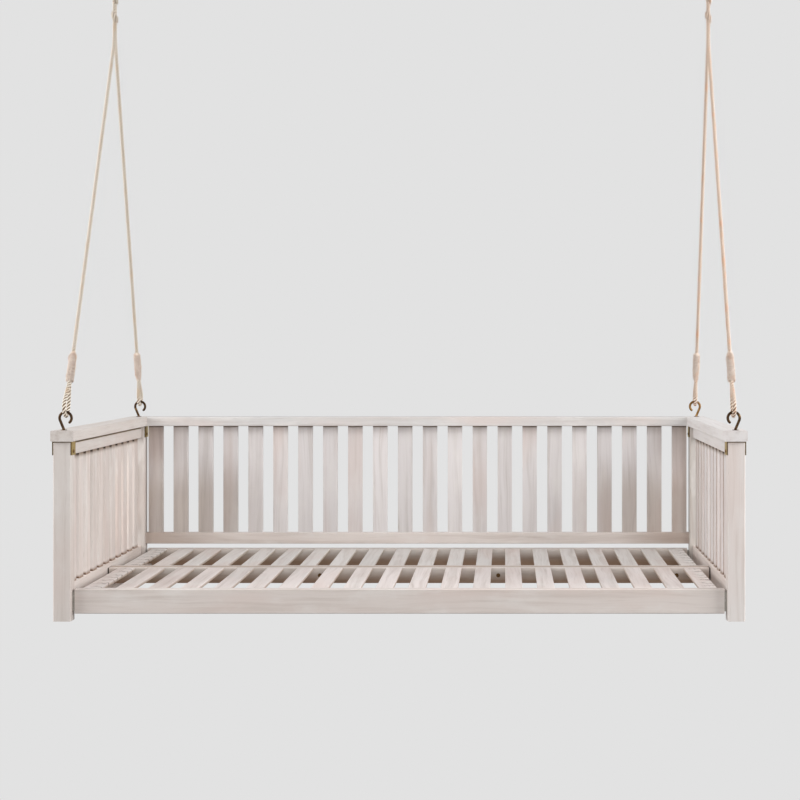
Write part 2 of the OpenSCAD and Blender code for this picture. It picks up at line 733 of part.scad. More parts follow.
// An eye leaves the splice, turns under the hook's rod and enters it again.
eye_middle = eye_bend - bed_turn;
eye_overlap = 10;
eye_throat = 2;
function eye_side(row, side, t) =
    on_leg(row, mixed(eye_middle, eye_length(row) + eye_overlap, t),
           side * mixed(eye_bend, eye_throat, smooth(t)));
function eye_path(row) = concat(
    [for (t = [1 : -0.2 : 0.2]) eye_side(row, 1, t)],
    [for (a = [0 : -20 : -180])
        on_leg(row, eye_middle + eye_bend * sin(a), eye_bend * cos(a))],
    [for (t = [0.2 : 0.2 : 1]) eye_side(row, -1, t)]);

module rope(side) {
    color(hemp) translate([side * rope_x, 0, 0]) union() {
        flat_tube(rope_path, rope_radii);
        for (row = [FRONT, REAR])
            flat_tube(eye_path(row), [for (p = eye_path(row)) rope_radius]);
    }
}

// ---- Whippings and seizings ---------------------------------------------------
// Least distance between the middles of turns that lie next to each other
function least_step(path, per_turn) = min([
    for (i = [1 : len(path) - per_turn - 2], k = [-1, 0, 1])
        norm(path[i + per_turn + k] - path[i])]);

// A whipping is one unbroken winding round the splice of a leg.
turn_steps = 9;
whipping_radius = (splice_radius + rope_gap + twine_diameter / 2) / cos(180 / turn_steps);
whipping_pitch = twine_diameter + twine_turn_gap;
whipping_turns = floor((whipping_length - twine_diameter) / whipping_pitch);
whipping_steps = [0 : whipping_turns * turn_steps];
function whipping_out(row, i) = let (a = 360 * i / turn_steps)
    cos(a) * leg_across(row) + [sin(a), 0, 0];
function whipping_path(row) = [for (i = whipping_steps)
    on_leg(row, eye_length(row) + twine_diameter / 2 + whipping_pitch * i / turn_steps)
    + whipping_radius * whipping_out(row, i)];
module whipping(side, row) {
    color(hemp) translate([side * rope_x, 0, 0])
        tube(whipping_path(row), [for (i = whipping_steps) whipping_out(row, i)],
             [for (i = whipping_steps) twine_diameter / 2], 6);
}
echo(whipping_gap = least_step(whipping_path(FRONT), turn_steps) - twine_diameter);

// A seizing is one unbroken winding round the pair of ropes, in an oval.
oval_angles = [-90, -45, 0, 45, 90];
oval_steps = 2 * len(oval_angles);
seizing_radius = (rope_radius + rope_gap + seizing_twine / 2) / cos(22.5);
seizing_pitch = seizing_twine + twine_turn_gap;
seizing_turns = floor((seizing_length - seizing_twine) / seizing_pitch);
seizing_steps = [0 : seizing_turns * oval_steps];
function oval_out(i) = let (n = len(oval_angles), side = i % oval_steps < n ? 1 : -1,
                            a = oval_angles[i % n])
    [side * sin(a), side * cos(a), 0];
function seizing_path(foot) = [for (i = seizing_steps)
    let (out = oval_out(i), side = i % oval_steps < len(oval_angles) ? 1 : -1)
        [0, side * pair_offset, foot + seizing_twine / 2 + seizing_pitch * i / oval_steps]
        + seizing_radius * out];
module seizings(side) {
    color(hemp) translate([side * rope_x, 0, -ceiling_height])
        for (foot = [lower_seizing_foot, upper_seizing_foot])
            tube(seizing_path(foot), [for (i = seizing_steps) oval_out(i)],
                 [for (i = seizing_steps) seizing_twine / 2], 6);
}
echo(seizing_gap = least_step(seizing_path(0), oval_steps) - seizing_twine);

// ---- Ceiling hangers ------------------------------------------------------------
bolt_z = -hanger_bolt_drop;
lug_x = hanger_eye_width / 2 + hanger_side_clearance + lug_thickness / 2;
hanger_head_thickness = 6;
hanger_flats = 17;
hanger_bolt_reach = lug_x + lug_thickness / 2;
module hanger_bracket(side) {
    color(bronze) translate([side * rope_x, 0, 0]) difference() {
        union() {
            translate([0, 0, -plate_thickness / 2])
                block([plate_width, plate_length, plate_thickness]);
            for (x = [-lug_x, lug_x]) {
                translate([x, 0, bolt_z]) rod_x(lug_thickness, 2 * lug_radius);
                translate([x, 0, (bolt_z - plate_thickness / 2) / 2])
                    block([lug_thickness, 2 * lug_radius, -bolt_z - plate_thickness / 2]);
            }
        }
        for (y = [-0.5, 0.5])
            translate([0, y * plate_hole_spacing, -plate_thickness - 1])
                cylinder(h = plate_thickness + 2, d = plate_hole_diameter);
        translate([0, 0, bolt_z])
            rod_x(plate_width, hanger_bolt_diameter);
    }
}
module hanger_bolts() {
    shank = 2 * hanger_bolt_reach + nut_thickness + 2;
    color(steel) for (side = [LEFT, RIGHT]) translate([side * rope_x, 0, bolt_z])
        rotate([0, 90, 0]) {
            translate([0, 0, -hanger_bolt_reach]) cylinder(h = shank, d = hanger_bolt_diameter);
            translate([0, 0, -hanger_bolt_reach - hanger_head_thickness])
                cylinder(h = hanger_head_thickness, d = hanger_flats / cos(30), $fn = 6);
        }
}
module hanger_nuts() {
    color(steel) for (side = [LEFT, RIGHT])
        translate([side * rope_x + hanger_bolt_reach, 0, bolt_z])
            rotate([0, 90, 0]) difference() {
                cylinder(h = nut_thickness, d = hanger_flats / cos(30), $fn = 6);
                translate([0, 0, -1]) cylinder(h = nut_thickness + 2, d = hanger_bolt_diameter);
            }
}
// The hanger hook turns on the bolt. Its neck runs straight down between the lugs,
// and its bowl lies square to the rope's loop.
neck_length = lug_radius + 1;
module hanger_hook(side) {
    eye_bore = hanger_bolt_diameter + 2 * hanger_bolt_clearance;
    color(bronze) translate([side * rope_x, 0, bolt_z]) difference() {
        union() {
            rod_x(hanger_eye_width, eye_bore + 2 * hanger_eye_wall);
            rotate([180, 0, side == RIGHT ? 180 : 0]) {
                cylinder(h = neck_length + stem_overlap, d = hanger_rod);
                translate([0, 0, neck_length])
                    open_hook(hanger_rod, 0, hanger_hook_drop - neck_length);
            }
        }
        rod_x(hanger_eye_width + 2, eye_bore);
    }
}

post(LEFT, FRONT);  // post_front_left
post(RIGHT, FRONT);  // post_front_right
post(LEFT, REAR);  // post_rear_left
post(RIGHT, REAR);  // post_rear_right
arm_cap(LEFT);  // arm_cap_left
arm_cap(RIGHT);  // arm_cap_right
back_cap();
cap_dowels();
side_rail(LEFT, side_slat_head, side_top_rail_height);  // side_top_rail_left
side_rail(RIGHT, side_slat_head, side_top_rail_height);  // side_top_rail_right
side_rail(LEFT, foot_clearance, side_bottom_rail_height);  // side_bottom_rail_left
side_rail(RIGHT, foot_clearance, side_bottom_rail_height);  // side_bottom_rail_right
side_slats(LEFT);  // side_slats_left
side_slats(RIGHT);  // side_slats_right
back_bottom_rail();
back_slats();
seat_end_rail(FRONT);  // seat_front_rail
seat_end_rail(REAR);  // seat_rear_rail
seat_middle_rail(FRONT);  // seat_middle_rail_front
seat_middle_rail(REAR);  // seat_middle_rail_rear
seat_slats(FRONT);  // seat_slats_front
seat_slats(REAR);  // seat_slats_rear
cleat(LEFT);  // cleat_left
cleat(RIGHT);  // cleat_right
cleat_screws();
hook_plates_posts();
hook_plates_seat();
seat_joining_bolts();
seat_joining_nuts();
strap(LEFT, FRONT);  // strap_front_left
strap(RIGHT, FRONT);  // strap_front_right
strap(LEFT, REAR);  // strap_rear_left
strap(RIGHT, REAR);  // strap_rear_right
strap_screws();
hook(LEFT, FRONT);  // hook_front_left
hook(RIGHT, FRONT);  // hook_front_right
hook(LEFT, REAR);  // hook_rear_left
hook(RIGHT, REAR);  // hook_rear_right
hook_washers();
hook_nuts();
rope(LEFT);  // rope_left
rope(RIGHT);  // rope_right
whipping(LEFT, FRONT);  // whipping_front_left
whipping(RIGHT, FRONT);  // whipping_front_right
whipping(LEFT, REAR);  // whipping_rear_left
whipping(RIGHT, REAR);  // whipping_rear_right
seizings(LEFT);  // seizings_left
seizings(RIGHT);  // seizings_right
hanger_hook(LEFT);  // hanger_hook_left
hanger_hook(RIGHT);  // hanger_hook_right
hanger_bracket(LEFT);  // hanger_bracket_left
hanger_bracket(RIGHT);  // hanger_bracket_right
hanger_bolts();
hanger_nuts();
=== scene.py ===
# %% [markdown]
# # A hanging swing bed
#
# A slatted day bed of whitewashed wood hangs on two ropes. Each rope forks above
# the bed: its two legs end in whipped eyes on open hooks, and its top loop hangs
# on a hook in the ceiling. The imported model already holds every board, hook and
# bolt at its real size, so this lesson dresses it: it lays the ropes strand by
# strand, winds the twine, and paints wood and metal with shader nodes.

import bpy
import numpy as np
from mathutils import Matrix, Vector


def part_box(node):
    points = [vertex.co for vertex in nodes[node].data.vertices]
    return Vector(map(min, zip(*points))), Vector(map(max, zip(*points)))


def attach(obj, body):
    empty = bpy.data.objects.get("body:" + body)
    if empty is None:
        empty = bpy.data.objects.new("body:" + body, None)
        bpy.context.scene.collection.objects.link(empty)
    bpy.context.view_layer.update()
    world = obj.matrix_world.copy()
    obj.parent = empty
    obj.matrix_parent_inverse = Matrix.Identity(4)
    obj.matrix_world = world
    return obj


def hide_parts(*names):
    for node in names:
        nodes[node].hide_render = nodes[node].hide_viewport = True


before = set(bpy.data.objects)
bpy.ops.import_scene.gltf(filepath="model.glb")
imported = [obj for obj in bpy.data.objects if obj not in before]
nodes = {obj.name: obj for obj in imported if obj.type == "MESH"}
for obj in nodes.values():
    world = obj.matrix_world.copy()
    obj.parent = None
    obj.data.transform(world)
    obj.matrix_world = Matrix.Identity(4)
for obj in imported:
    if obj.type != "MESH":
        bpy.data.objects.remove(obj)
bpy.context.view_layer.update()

# %% [markdown]
# ## Where things are
#
# The ropes have to meet the solid hooks exactly, so they aren't placed by eye. A
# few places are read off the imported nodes, in metres: the feet, the face of the
# front posts, the tops of the caps and the rods of the hooks. The ropes and the
# camera below start from these.

# %% Places read off the frame
SIDES = {"left": -1, "right": 1}
ROWS = {"front": -1, "rear": 1}


def middle(node):
    """The middle of a node's box: half the sum of its two corners."""
    low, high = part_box(node)
    return np.array((low + high) / 2)


feet_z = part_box("post_front_left")[0].z
front_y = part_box("post_front_left")[0].y
cap_top_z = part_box("arm_cap_left")[1].z
HOOK_ROD = 0.008
hook_rod_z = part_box("hook_front_left")[1].z - HOOK_ROD / 2
print(f"feet at {feet_z:.4f}, caps at {cap_top_z:.4f}, hook rods at {hook_rod_z:.4f}")

# %% [markdown]
# ## The camera
#
# The photograph is level and looks straight along the bed's depth, but the point
# that the depth lines run to lies right of the picture's middle and above it. So
# the camera stood a little right of the bed's middle, and a shifted lens brought
# the bed back: the camera stays level and square to the bed, and the frame slides
# over the picture plane. The lens follows from the scale of the photograph at the
# front posts and from the camera's distance to them.

# %% The camera
PHOTO_SIZE = 800
AXIS_PIXEL = (505, 350)
PIXELS_PER_METRE = 341.7
SENSOR_WIDTH = 36
CAMERA_DISTANCE = 4.9
CAMERA_HEIGHT = 0.795
CAMERA_X = 0.3098

camera_data = bpy.data.cameras.new("camera")
camera_data.sensor_width = SENSOR_WIDTH
camera_data.lens = SENSOR_WIDTH * PIXELS_PER_METRE * CAMERA_DISTANCE / PHOTO_SIZE
camera_data.shift_x = 0.5 - AXIS_PIXEL[0] / PHOTO_SIZE
camera_data.shift_y = AXIS_PIXEL[1] / PHOTO_SIZE - 0.5
camera = bpy.data.objects.new("camera", camera_data)
bpy.context.collection.objects.link(camera)
camera.location = (CAMERA_X, front_y - CAMERA_DISTANCE, feet_z + CAMERA_HEIGHT)
camera.rotation_euler = (np.pi / 2, 0, 0)
bpy.context.scene.camera = camera
bpy.context.scene.view_settings.view_transform = "Standard"
print(f"lens {camera_data.lens:.1f} mm, shift {camera_data.shift_x:.3f}, {camera_data.shift_y:.3f}")

# %% [markdown]
# ## The line of a rope
#
# Each rope is one length, doubled over the ceiling hook. From the end that is
# tucked into the front whipping it goes round the front eye, up the front leg,
# through the two seizings, over the ceiling hook and down the rear side in the
# same way. The whole line lies in one upright plane, so it is enough to work out
# its depth and height; arcs and straight stretches come from the same few sizes
# as the hooks.

# %% The stretches of a rope's line
ROPE = 0.012
ROPE_GAP = 0.0003
EYE_BEND = 0.024
EYE_LENGTH = {"front": 0.098, "rear": 0.08}
EYE_OVERLAP = 0.01
EYE_THROAT = 0.002
WHIPPING_LENGTH = 0.1
SPLICE_TAPER = 0.03
FORK_RISE = 1.256
FORK_BEND = 0.03
SEIZING_RISE = 0.069
SEIZING_LENGTH = 0.026
SEIZING_SPACING = 0.062

rope_top_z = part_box("rope_left")[1].z
fork_z = cap_top_z + FORK_RISE
pair_offset = (ROPE + ROPE_GAP) / 2
eye_middle = EYE_BEND - (HOOK_ROD + ROPE) / 2 - ROPE_GAP
loop_foot_z = fork_z + SEIZING_RISE + SEIZING_SPACING + SEIZING_LENGTH
loop_middle_z = rope_top_z - ROPE / 2 - EYE_BEND


def smooth(t):
    """The smoothstep 3t^2 - 2t^3."""
    return t * t * (3 - 2 * t)


def steps(start, stop, count):
    """Evenly spaced values as a column, so that they multiply points."""
    return np.linspace(start, stop, count)[:, None]


class Leg:
    """The straight line from a bed hook to the fork, and places measured along and across it."""

    def __init__(self, row):
        self.side = ROWS[row]
        self.eye = EYE_LENGTH[row]
        self.foot = np.array([middle(f"post_{row}_left")[1], hook_rod_z])
        self.head = np.array([self.side * pair_offset, fork_z])
        self.span = np.linalg.norm(self.head - self.foot)
        self.way = (self.head - self.foot) / self.span
        self.across = np.array([self.way[1], -self.way[0]])

    def at(self, along, across=0):
        """foot + along * way + across * across, for columns of distances."""
        return self.foot + along * self.way + across * self.across

    def eye_side(self, side, t):
        """One side of the eye: its offset eases from the bend's radius to the throat's."""
        width = EYE_BEND + (EYE_THROAT - EYE_BEND) * smooth(t)
        return self.at(eye_middle + (self.eye + EYE_OVERLAP - eye_middle) * t, side * width)


legs = {row: Leg(row) for row in ROWS}
print("legs of", ", ".join(f"{leg.span:.3f} m" for leg in legs.values()))


# %% From the tucked end to the top of the loop
def half_line(row):
    """The line from the end inside the whipping, round the eye and up to the ceiling hook: straight
    stretches, the arc p + r (-sin, cos) round the hook, offsets eased by smooth, and at the fork the
    quadratic curve (1 - t)^2 a + 2 t (1 - t) head + t^2 b. The counts of points only have to be fine,
    since even() spaces the points anew."""
    leg, side = legs[row], ROWS[row]
    eye_end, splice_end = leg.eye + EYE_OVERLAP, leg.eye + WHIPPING_LENGTH
    tail = leg.at(steps(splice_end - ROPE, eye_end, 20), side * EYE_THROAT)
    turn = steps(0, np.pi, 30)
    bowl = leg.at(eye_middle - EYE_BEND * np.sin(turn), side * EYE_BEND * np.cos(turn))
    splice = steps(eye_end, splice_end + SPLICE_TAPER, 20)
    ease = smooth((splice - eye_end) / (splice_end + SPLICE_TAPER - eye_end))
    standing = leg.at(splice, -side * EYE_THROAT * (1 - ease))
    plain = leg.at(steps(splice_end + SPLICE_TAPER, leg.span - FORK_BEND, 200))
    t = steps(0, 1, 12)
    above = leg.head + [0, FORK_BEND]
    bend = (1 - t) ** 2 * plain[-1] + 2 * t * (1 - t) * leg.head + t**2 * above
    upright = np.hstack([np.full((40, 1), side * pair_offset), steps(above[1], loop_foot_z, 40)])
    t = steps(0, 1, 20)
    widen = pair_offset + (EYE_BEND - pair_offset) * smooth(t)
    loop = np.hstack([side * widen, loop_foot_z + (loop_middle_z - loop_foot_z) * t])
    return np.vstack([tail, leg.eye_side(side, steps(1, 0, 30)), bowl[1:],
                      leg.eye_side(-side, steps(0, 1, 30))[1:], standing[1:], plain[1:],
                      bend[1:], upright[1:], loop[1:]])


def even(line, step):
    """The same line with points a fixed step apart, by arc length."""
    far = np.concatenate([[0], np.cumsum(np.linalg.norm(np.diff(line, axis=0), axis=1))])
    stations = np.linspace(0, far[-1], int(round(far[-1] / step)) + 1)
    return np.stack([np.interp(stations, far, line[:, i]) for i in range(line.shape[1])], 1)


over = steps(np.pi, 0, 30)
top_turn = np.hstack([EYE_BEND * np.cos(over), loop_middle_z + EYE_BEND * np.sin(over)])
line = np.vstack([half_line("front"), top_turn[1:-1], half_line("rear")[::-1]])
ROPE_STEP = 0.002
line = even(line, ROPE_STEP)

# %% [markdown]
# ## Tubes from grids
#
# Rope, twine and seizing are all tubes, so one function makes every tube: a
# circle carried along a line, as a grid of points with one row for each station
# and one column for each side. numpy works out all points at once; the faces are
# the same grid's neighbours, and a fan of triangles closes each end.

# %% A tube round a line
def unit(v):
    """Each row divided by its length."""
    return v / np.linalg.norm(v, axis=-1, keepdims=True)


def ring_frames(path, hint):
    """For each point the direction of the path, and two vectors square to it and to each other."""
    way = unit(np.gradient(path, axis=0))
    first = unit(hint - way * (hint * way).sum(1, keepdims=True))
    return way, first, np.cross(way, first)


def tube_grid(path, hint, radius, sides):
    """p + r (cos a u + sin a v): a circle of the given radius, or radii, round each point of the path."""
    way, u, v = ring_frames(path, hint)
    a = np.arange(sides) * 2 * np.pi / sides
    circle = np.cos(a)[None, :, None] * u[:, None] + np.sin(a)[None, :, None] * v[:, None]
    return path[:, None] + np.broadcast_to(radius, len(path))[:, None, None] * circle


def tube_faces(rings, sides):
    """Quads between neighbours of a grid, and triangles from each end's ring to its middle point."""
    i, k = np.meshgrid(np.arange(rings - 1), np.arange(sides), indexing="ij")
    n = (k + 1) % sides
    quads = np.stack([i * sides + k, i * sides + n, (i + 1) * sides + n, (i + 1) * sides + k], -1)
    k, n = np.arange(sides), (np.arange(sides) + 1) % sides
    start, end, last = rings * sides, rings * sides + 1, (rings - 1) * sides
    fans = np.concatenate([np.stack([n, k, np.full(sides, start)], 1),
                           np.stack([last + k, last + n, np.full(sides, end)], 1)])
    return quads.reshape(-1, 4), fans


# %% A mesh of several tubes
def tubes_object(name, tubes, finish):
    """Joins tubes into one piece. Each tube is (grid, crest): crest is one value per point, kept as an
    attribute, and the map Lay holds the turn round the tube and the distance along it in metres."""
    points, corners, sizes, uvs, crests, base = [], [], [], [], [], 0
    for grid, crest in tubes:
        rings, sides = grid.shape[:2]
        quads, fans = tube_faces(rings, sides)
        far = np.concatenate([[0], np.cumsum(np.linalg.norm(np.diff(grid.mean(1), axis=0), axis=1))])
        points.append(np.vstack([grid.reshape(-1, 3), grid[0].mean(0), grid[-1].mean(0)]))
        crests.append(np.concatenate([crest.ravel(), [crest[0].mean(), crest[-1].mean()]]))
        corners += [(quads + base).ravel(), (fans + base).ravel()]
        sizes += [np.full(len(quads), 4), np.full(len(fans), 3)]
        i, k = np.meshgrid(np.arange(rings - 1), np.arange(sides), indexing="ij")
        turn = np.stack([k, k + 1, k + 1, k], -1) / sides
        along = far[np.stack([i, i, i + 1, i + 1], -1)]
        uvs += [np.stack([turn, along], -1).reshape(-1, 2), np.zeros((3 * len(fans), 2))]
        base += len(points[-1])
    mesh = bpy.data.meshes.new(name)
    points, corners, sizes = np.vstack(points), np.concatenate(corners), np.concatenate(sizes)
    mesh.vertices.add(len(points))
    mesh.vertices.foreach_set("co", points.ravel())
    mesh.loops.add(len(corners))
    mesh.loops.foreach_set("vertex_index", corners)
    mesh.polygons.add(len(sizes))
    mesh.polygons.foreach_set("loop_start", np.cumsum(sizes) - sizes)
    mesh.polygons.foreach_set("use_smooth", np.ones(len(sizes), bool))
    mesh.uv_layers.new(name="Lay").data.foreach_set("uv", np.vstack(uvs).ravel())
    mesh.attributes.new("crest", "FLOAT", "POINT").data.foreach_set("value", np.concatenate(crests))
    mesh.update(calc_edges=True)
    mesh.validate()
    piece = bpy.data.objects.new(name, mesh)
    bpy.context.collection.objects.link(piece)
    mesh.materials.append(finish)
    return piece


# %% [markdown]
# ## Small helpers for shader nodes
#
# A material is a graph. A few short helpers keep each graph readable: the first
# adds a node and fills its inputs with values or with other nodes' outputs, and
# the rest use it for arithmetic, mixed colours, noise and the like. Effects used
# by several materials become node groups with named inputs and outputs.

# %% Node helpers
def add(tree, kind, inputs=(), **settings):
    """A new node with its settings and inputs filled; an input takes a value or a socket."""
    new = tree.nodes.new(kind)
    for name, value in settings.items():
        setattr(new, name, value)
    for name, value in dict(inputs).items():
        if isinstance(value, bpy.types.NodeSocket):
            tree.links.new(value, new.inputs[name])
        else:
            new.inputs[name].default_value = value
    return new


def calc(tree, operation, *values):
    """One Math node; gives its output."""
    return add(tree, "ShaderNodeMath", enumerate(values), operation=operation).outputs[0]


def mixed(tree, share, a, b, blend="MIX"):
    """One colour Mix node, whose colour sockets are 6, 7 and the output 2; gives its output."""
    return add(tree, "ShaderNodeMix", {0: share, 6: a, 7: b}, data_type="RGBA", blend_type=blend).outputs[2]


def between(tree, value, low, high, to_low=0.0, to_high=1.0):
    """A value's range mapped smoothly onto another."""
    return add(tree, "ShaderNodeMapRange",
               {"Value": value, "From Min": low, "From Max": high, "To Min": to_low, "To Max": to_high},
               interpolation_type="SMOOTHSTEP").outputs["Result"]


def noise(tree, vector, size, detail=2.0, roughness=0.5):
    """Noise stretched to the given size of its features, in metres along each axis."""
    scale = tuple(1 / s for s in size)
    scaled = add(tree, "ShaderNodeVectorMath", {0: vector, 1: scale}, operation="MULTIPLY").outputs[0]
    settings = {"Vector": scaled, "Scale": 1.0, "Detail": detail, "Roughness": roughness}
    return add(tree, "ShaderNodeTexNoise", settings).outputs["Fac"]


def group(name, inputs, outputs):
    """An empty node group with sockets of the given kinds; gives it with its two end nodes."""
    tree = bpy.data.node_groups.new(name, "ShaderNodeTree")
    for socket, (kind, value) in inputs.items():
        made = tree.interface.new_socket(socket, in_out="INPUT", socket_type=kind)
        if value is not None:
            made.default_value = value
    for socket, kind in outputs.items():
        tree.interface.new_socket(socket, in_out="OUTPUT", socket_type=kind)
    return tree, add(tree, "NodeGroupInput").outputs, add(tree, "NodeGroupOutput").inputs


FLOAT, COLOUR, VECTOR = "NodeSocketFloat", "NodeSocketColor", "NodeSocketVector"


def material(name, **shader):
    """A material with a Principled BSDF whose constant values are set on its own sockets."""
    made = bpy.data.materials.new(name)
    made.use_nodes = True
    bsdf = made.node_tree.nodes["Principled BSDF"]
    for socket, value in shader.items():
        bsdf.inputs[socket.replace("_", " ")].default_value = value
    return made, made.node_tree, bsdf


def use(tree, node_group, inputs):
    """Places a node group in a material; gives its outputs."""
    return add(tree, "ShaderNodeGroup", inputs, node_tree=node_group).outputs


def cover(tree, bsdf, colour, height, strength, depth):
    """Links a colour to a shader, and a height through a Bump node of the given strength and depth."""
    tree.links.new(colour, bsdf.inputs["Base Color"])
    bump = add(tree, "ShaderNodeBump", {"Height": height, "Strength": strength, "Distance": depth})
    tree.links.new(bump.outputs["Normal"], bsdf.inputs["Normal"])


def rgb(red, green, blue):
    """A colour as it shows on screen, 0 to 255, turned into the linear light that a shader wants."""
    c = np.array([red, green, blue]) / 255
    return (*np.where(c <= 0.04045, c / 12.92, ((c + 0.055) / 1.055) ** 2.4), 1.0)


# %% [markdown]
# ## The look of twisted fibre
#
# Rope and twine are the same stuff at two sizes: pale fibres whose hollows are
# tan, with fine yarns running slantwise round each strand. The slant comes from
# the map Lay, which turns with the strand, so the yarns follow every bend. The
# crest attribute says how far out a point lies, and darkens the hollows between
# strands: partly the dust that a real rope gathers there, partly painted shade.
# Here and there the fibre is stained a warmer tan, as handled natural rope is.

# %% The fibre group
fibre, given, gives = group(
    "Twisted fibre",
    {"Crest colour": (COLOUR, None), "Hollow colour": (COLOUR, None), "Stain": (COLOUR, None),
     "Stained": (FLOAT, 0.5), "Yarns": (FLOAT, 7.0), "Yarn pitch": (FLOAT, 0.014),
     "Hollow to": (FLOAT, 0.7), "Crest from": (FLOAT, 0.97), "Parted": (FLOAT, 0.0)},
    {"Color": COLOUR, "Height": FLOAT})
lay = add(fibre, "ShaderNodeUVMap", uv_map="Lay").outputs["UV"]
split = add(fibre, "ShaderNodeSeparateXYZ", {"Vector": lay}).outputs
crest = add(fibre, "ShaderNodeAttribute", attribute_name="crest").outputs["Fac"]
place = add(fibre, "ShaderNodeTexCoord").outputs["Object"]
turns = calc(fibre, "SUBTRACT", calc(fibre, "MULTIPLY", split["X"], given["Yarns"]),
             calc(fibre, "DIVIDE", split["Y"], given["Yarn pitch"]))
wave = calc(fibre, "SINE", calc(fibre, "MULTIPLY", turns, 2 * np.pi))
wave = calc(fibre, "MULTIPLY_ADD", wave, 0.5, 0.5)
hairs = noise(fibre, place, (0.0012, 0.0012, 0.0012), 3)
patch = noise(fibre, place, (0.02, 0.02, 0.035), 3)
# The hollows are dark, partly dust and partly painted shade; yarns and hairs vary the rest, and thin dark
# lines part the fibres where a third noise crosses 0.5.
shade = between(fibre, crest, given["Hollow to"], given["Crest from"])
shade = calc(fibre, "MULTIPLY", shade, calc(fibre, "MULTIPLY_ADD", wave, 0.16, 0.84))
shade = calc(fibre, "ADD", shade, calc(fibre, "MULTIPLY_ADD", hairs, 0.5, -0.25))
parting = calc(fibre, "SUBTRACT", noise(fibre, place, (0.006, 0.006, 0.004), 1), 0.5)
parting = calc(fibre, "ABSOLUTE", parting)
parting = calc(fibre, "MULTIPLY", between(fibre, parting, 0.05, 0.015), given["Parted"])
shade = calc(fibre, "MULTIPLY", shade, calc(fibre, "SUBTRACT", 1.0, parting))
colour = mixed(fibre, shade, given["Hollow colour"], given["Crest colour"])
stained = calc(fibre, "MULTIPLY", between(fibre, patch, 0.52, 0.68), given["Stained"])
fibre.links.new(mixed(fibre, stained, colour, given["Stain"], "MULTIPLY"), gives["Color"])
fibre.links.new(calc(fibre, "MULTIPLY_ADD", wave, 0.7, calc(fibre, "MULTIPLY", hairs, 0.6)), gives["Height"])


# %% The materials of rope and twine
def fibre_material(name, crest_colour, hollow_colour, stain, stained, yarns, yarn_pitch, reach, parted=0.0):
    """A matt cloth-like shader fed by the fibre group. reach is where along the crest attribute the hollow's
    colour ends and the crest's begins."""
    made, tree, bsdf = material(name, Roughness=0.9, Specular_IOR_Level=0.25, Sheen_Weight=0.2,
                                Sheen_Roughness=0.5)
    out = use(tree, fibre, {"Crest colour": crest_colour, "Hollow colour": hollow_colour, "Stain": stain,
                            "Stained": stained, "Yarns": yarns, "Yarn pitch": yarn_pitch,
                            "Hollow to": reach[0], "Crest from": reach[1], "Parted": parted})
    cover(tree, bsdf, out["Color"], out["Height"], strength=0.5, depth=0.0004)
    return made


ROPE_YARNS = 7
ROPE_YARN_PITCH = 0.014
ROPE_REACH = (0.68, 0.96)
rope_fibre = {
    "left": fibre_material("cream rope", rgb(255, 246, 230), rgb(116, 90, 66), rgb(236, 212, 184), 0.5,
                           ROPE_YARNS, ROPE_YARN_PITCH, ROPE_REACH),
    "right": fibre_material("tan rope", rgb(255, 238, 220), rgb(126, 84, 56), rgb(240, 196, 156), 0.7,
                            ROPE_YARNS, ROPE_YARN_PITCH, ROPE_REACH),
}
twine_fibre = fibre_material("whipping twine", rgb(255, 242, 230), rgb(150, 112, 86), rgb(240, 212, 188), 0.5,
                             yarns=3, yarn_pitch=0.006, reach=(0.02, 0.28), parted=0.7)
print("fibre materials:", ", ".join(m.name for m in (*rope_fibre.values(), twine_fibre)))

# %% [markdown]
# ## Laying the ropes
#
# A laid rope is three strands twisted to the right round one line. Each strand is
# a tube whose own line is a helix round the rope's line; its circle is carried
# with the twist. A texture on one smooth tube would be lighter, but its outline
# would stay straight, and the scalloped edge is what makes a rope a rope. The same
# function lays the twine of the whippings and seizings from two strands.

# %% Strands laid round a line
def laid(path, hint, diameter, strands, lay_length, sides):
    """Strand k follows p + (R - r) (cos b u + sin b v), with b = 2 pi (s / lay length + k / strands) at
    distance s. Neighbours just touch when a strand's radius r is R sin(pi / n) / (1 + sin(pi / n)).
    The crest runs from 0 halfway out to 1 at the outside."""
    share = np.sin(np.pi / strands)
    strand_radius = diameter / 2 * share / (1 + share)
    way, u, v = ring_frames(path, hint)
    far = np.concatenate([[0], np.cumsum(np.linalg.norm(np.diff(path, axis=0), axis=1))])
    tubes = []
    for k in range(strands):
        b = 2 * np.pi * (far / lay_length + k / strands)[:, None]
        out = np.cos(b) * u + np.sin(b) * v
        grid = tube_grid(path + (diameter / 2 - strand_radius) * out, out, strand_radius, sides)
        reach = np.linalg.norm(grid - path[:, None], axis=-1) / (diameter / 2)
        tubes.append((grid, np.clip(2 * reach - 1, 0, 1)))
    return tubes


ROPE_LAY = 0.031
ROPE_STRANDS = 3
STRAND_SIDES = 12
rope_x = {side: middle(f"rope_{side}")[0] for side in SIDES}
rope_paths = {side: np.column_stack([np.full(len(line), rope_x[side]), line]) for side in SIDES}
for side in SIDES:
    along_x = np.tile([1.0, 0, 0], (len(line), 1))
    strands = laid(rope_paths[side], along_x, ROPE, ROPE_STRANDS, ROPE_LAY, STRAND_SIDES)
    rope = tubes_object(f"laid_rope_{side}", strands, rope_fibre[side])
    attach(rope, f"rope_{side}")
    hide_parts(f"rope_{side}")
    print(f"{rope.name}: {ROPE_STRANDS} strands, {len(rope.data.polygons)} faces")

# %% [markdown]
# ## Whippings and seizings
#
# A whipping is twine wound tight round the splice above each eye, to keep the
# tucked end from working out. Hand winding is never even: turns differ in height
# and tilt, ride over each other, and a last length of twine crosses them on its
# way to be tucked. So the helix has a seeded wobble from turn to turn, and a
# second, steeper tube crosses it. A seizing binds the two ropes to each other, so
# its turns are ovals of thicker twine, laid on a steep slant.

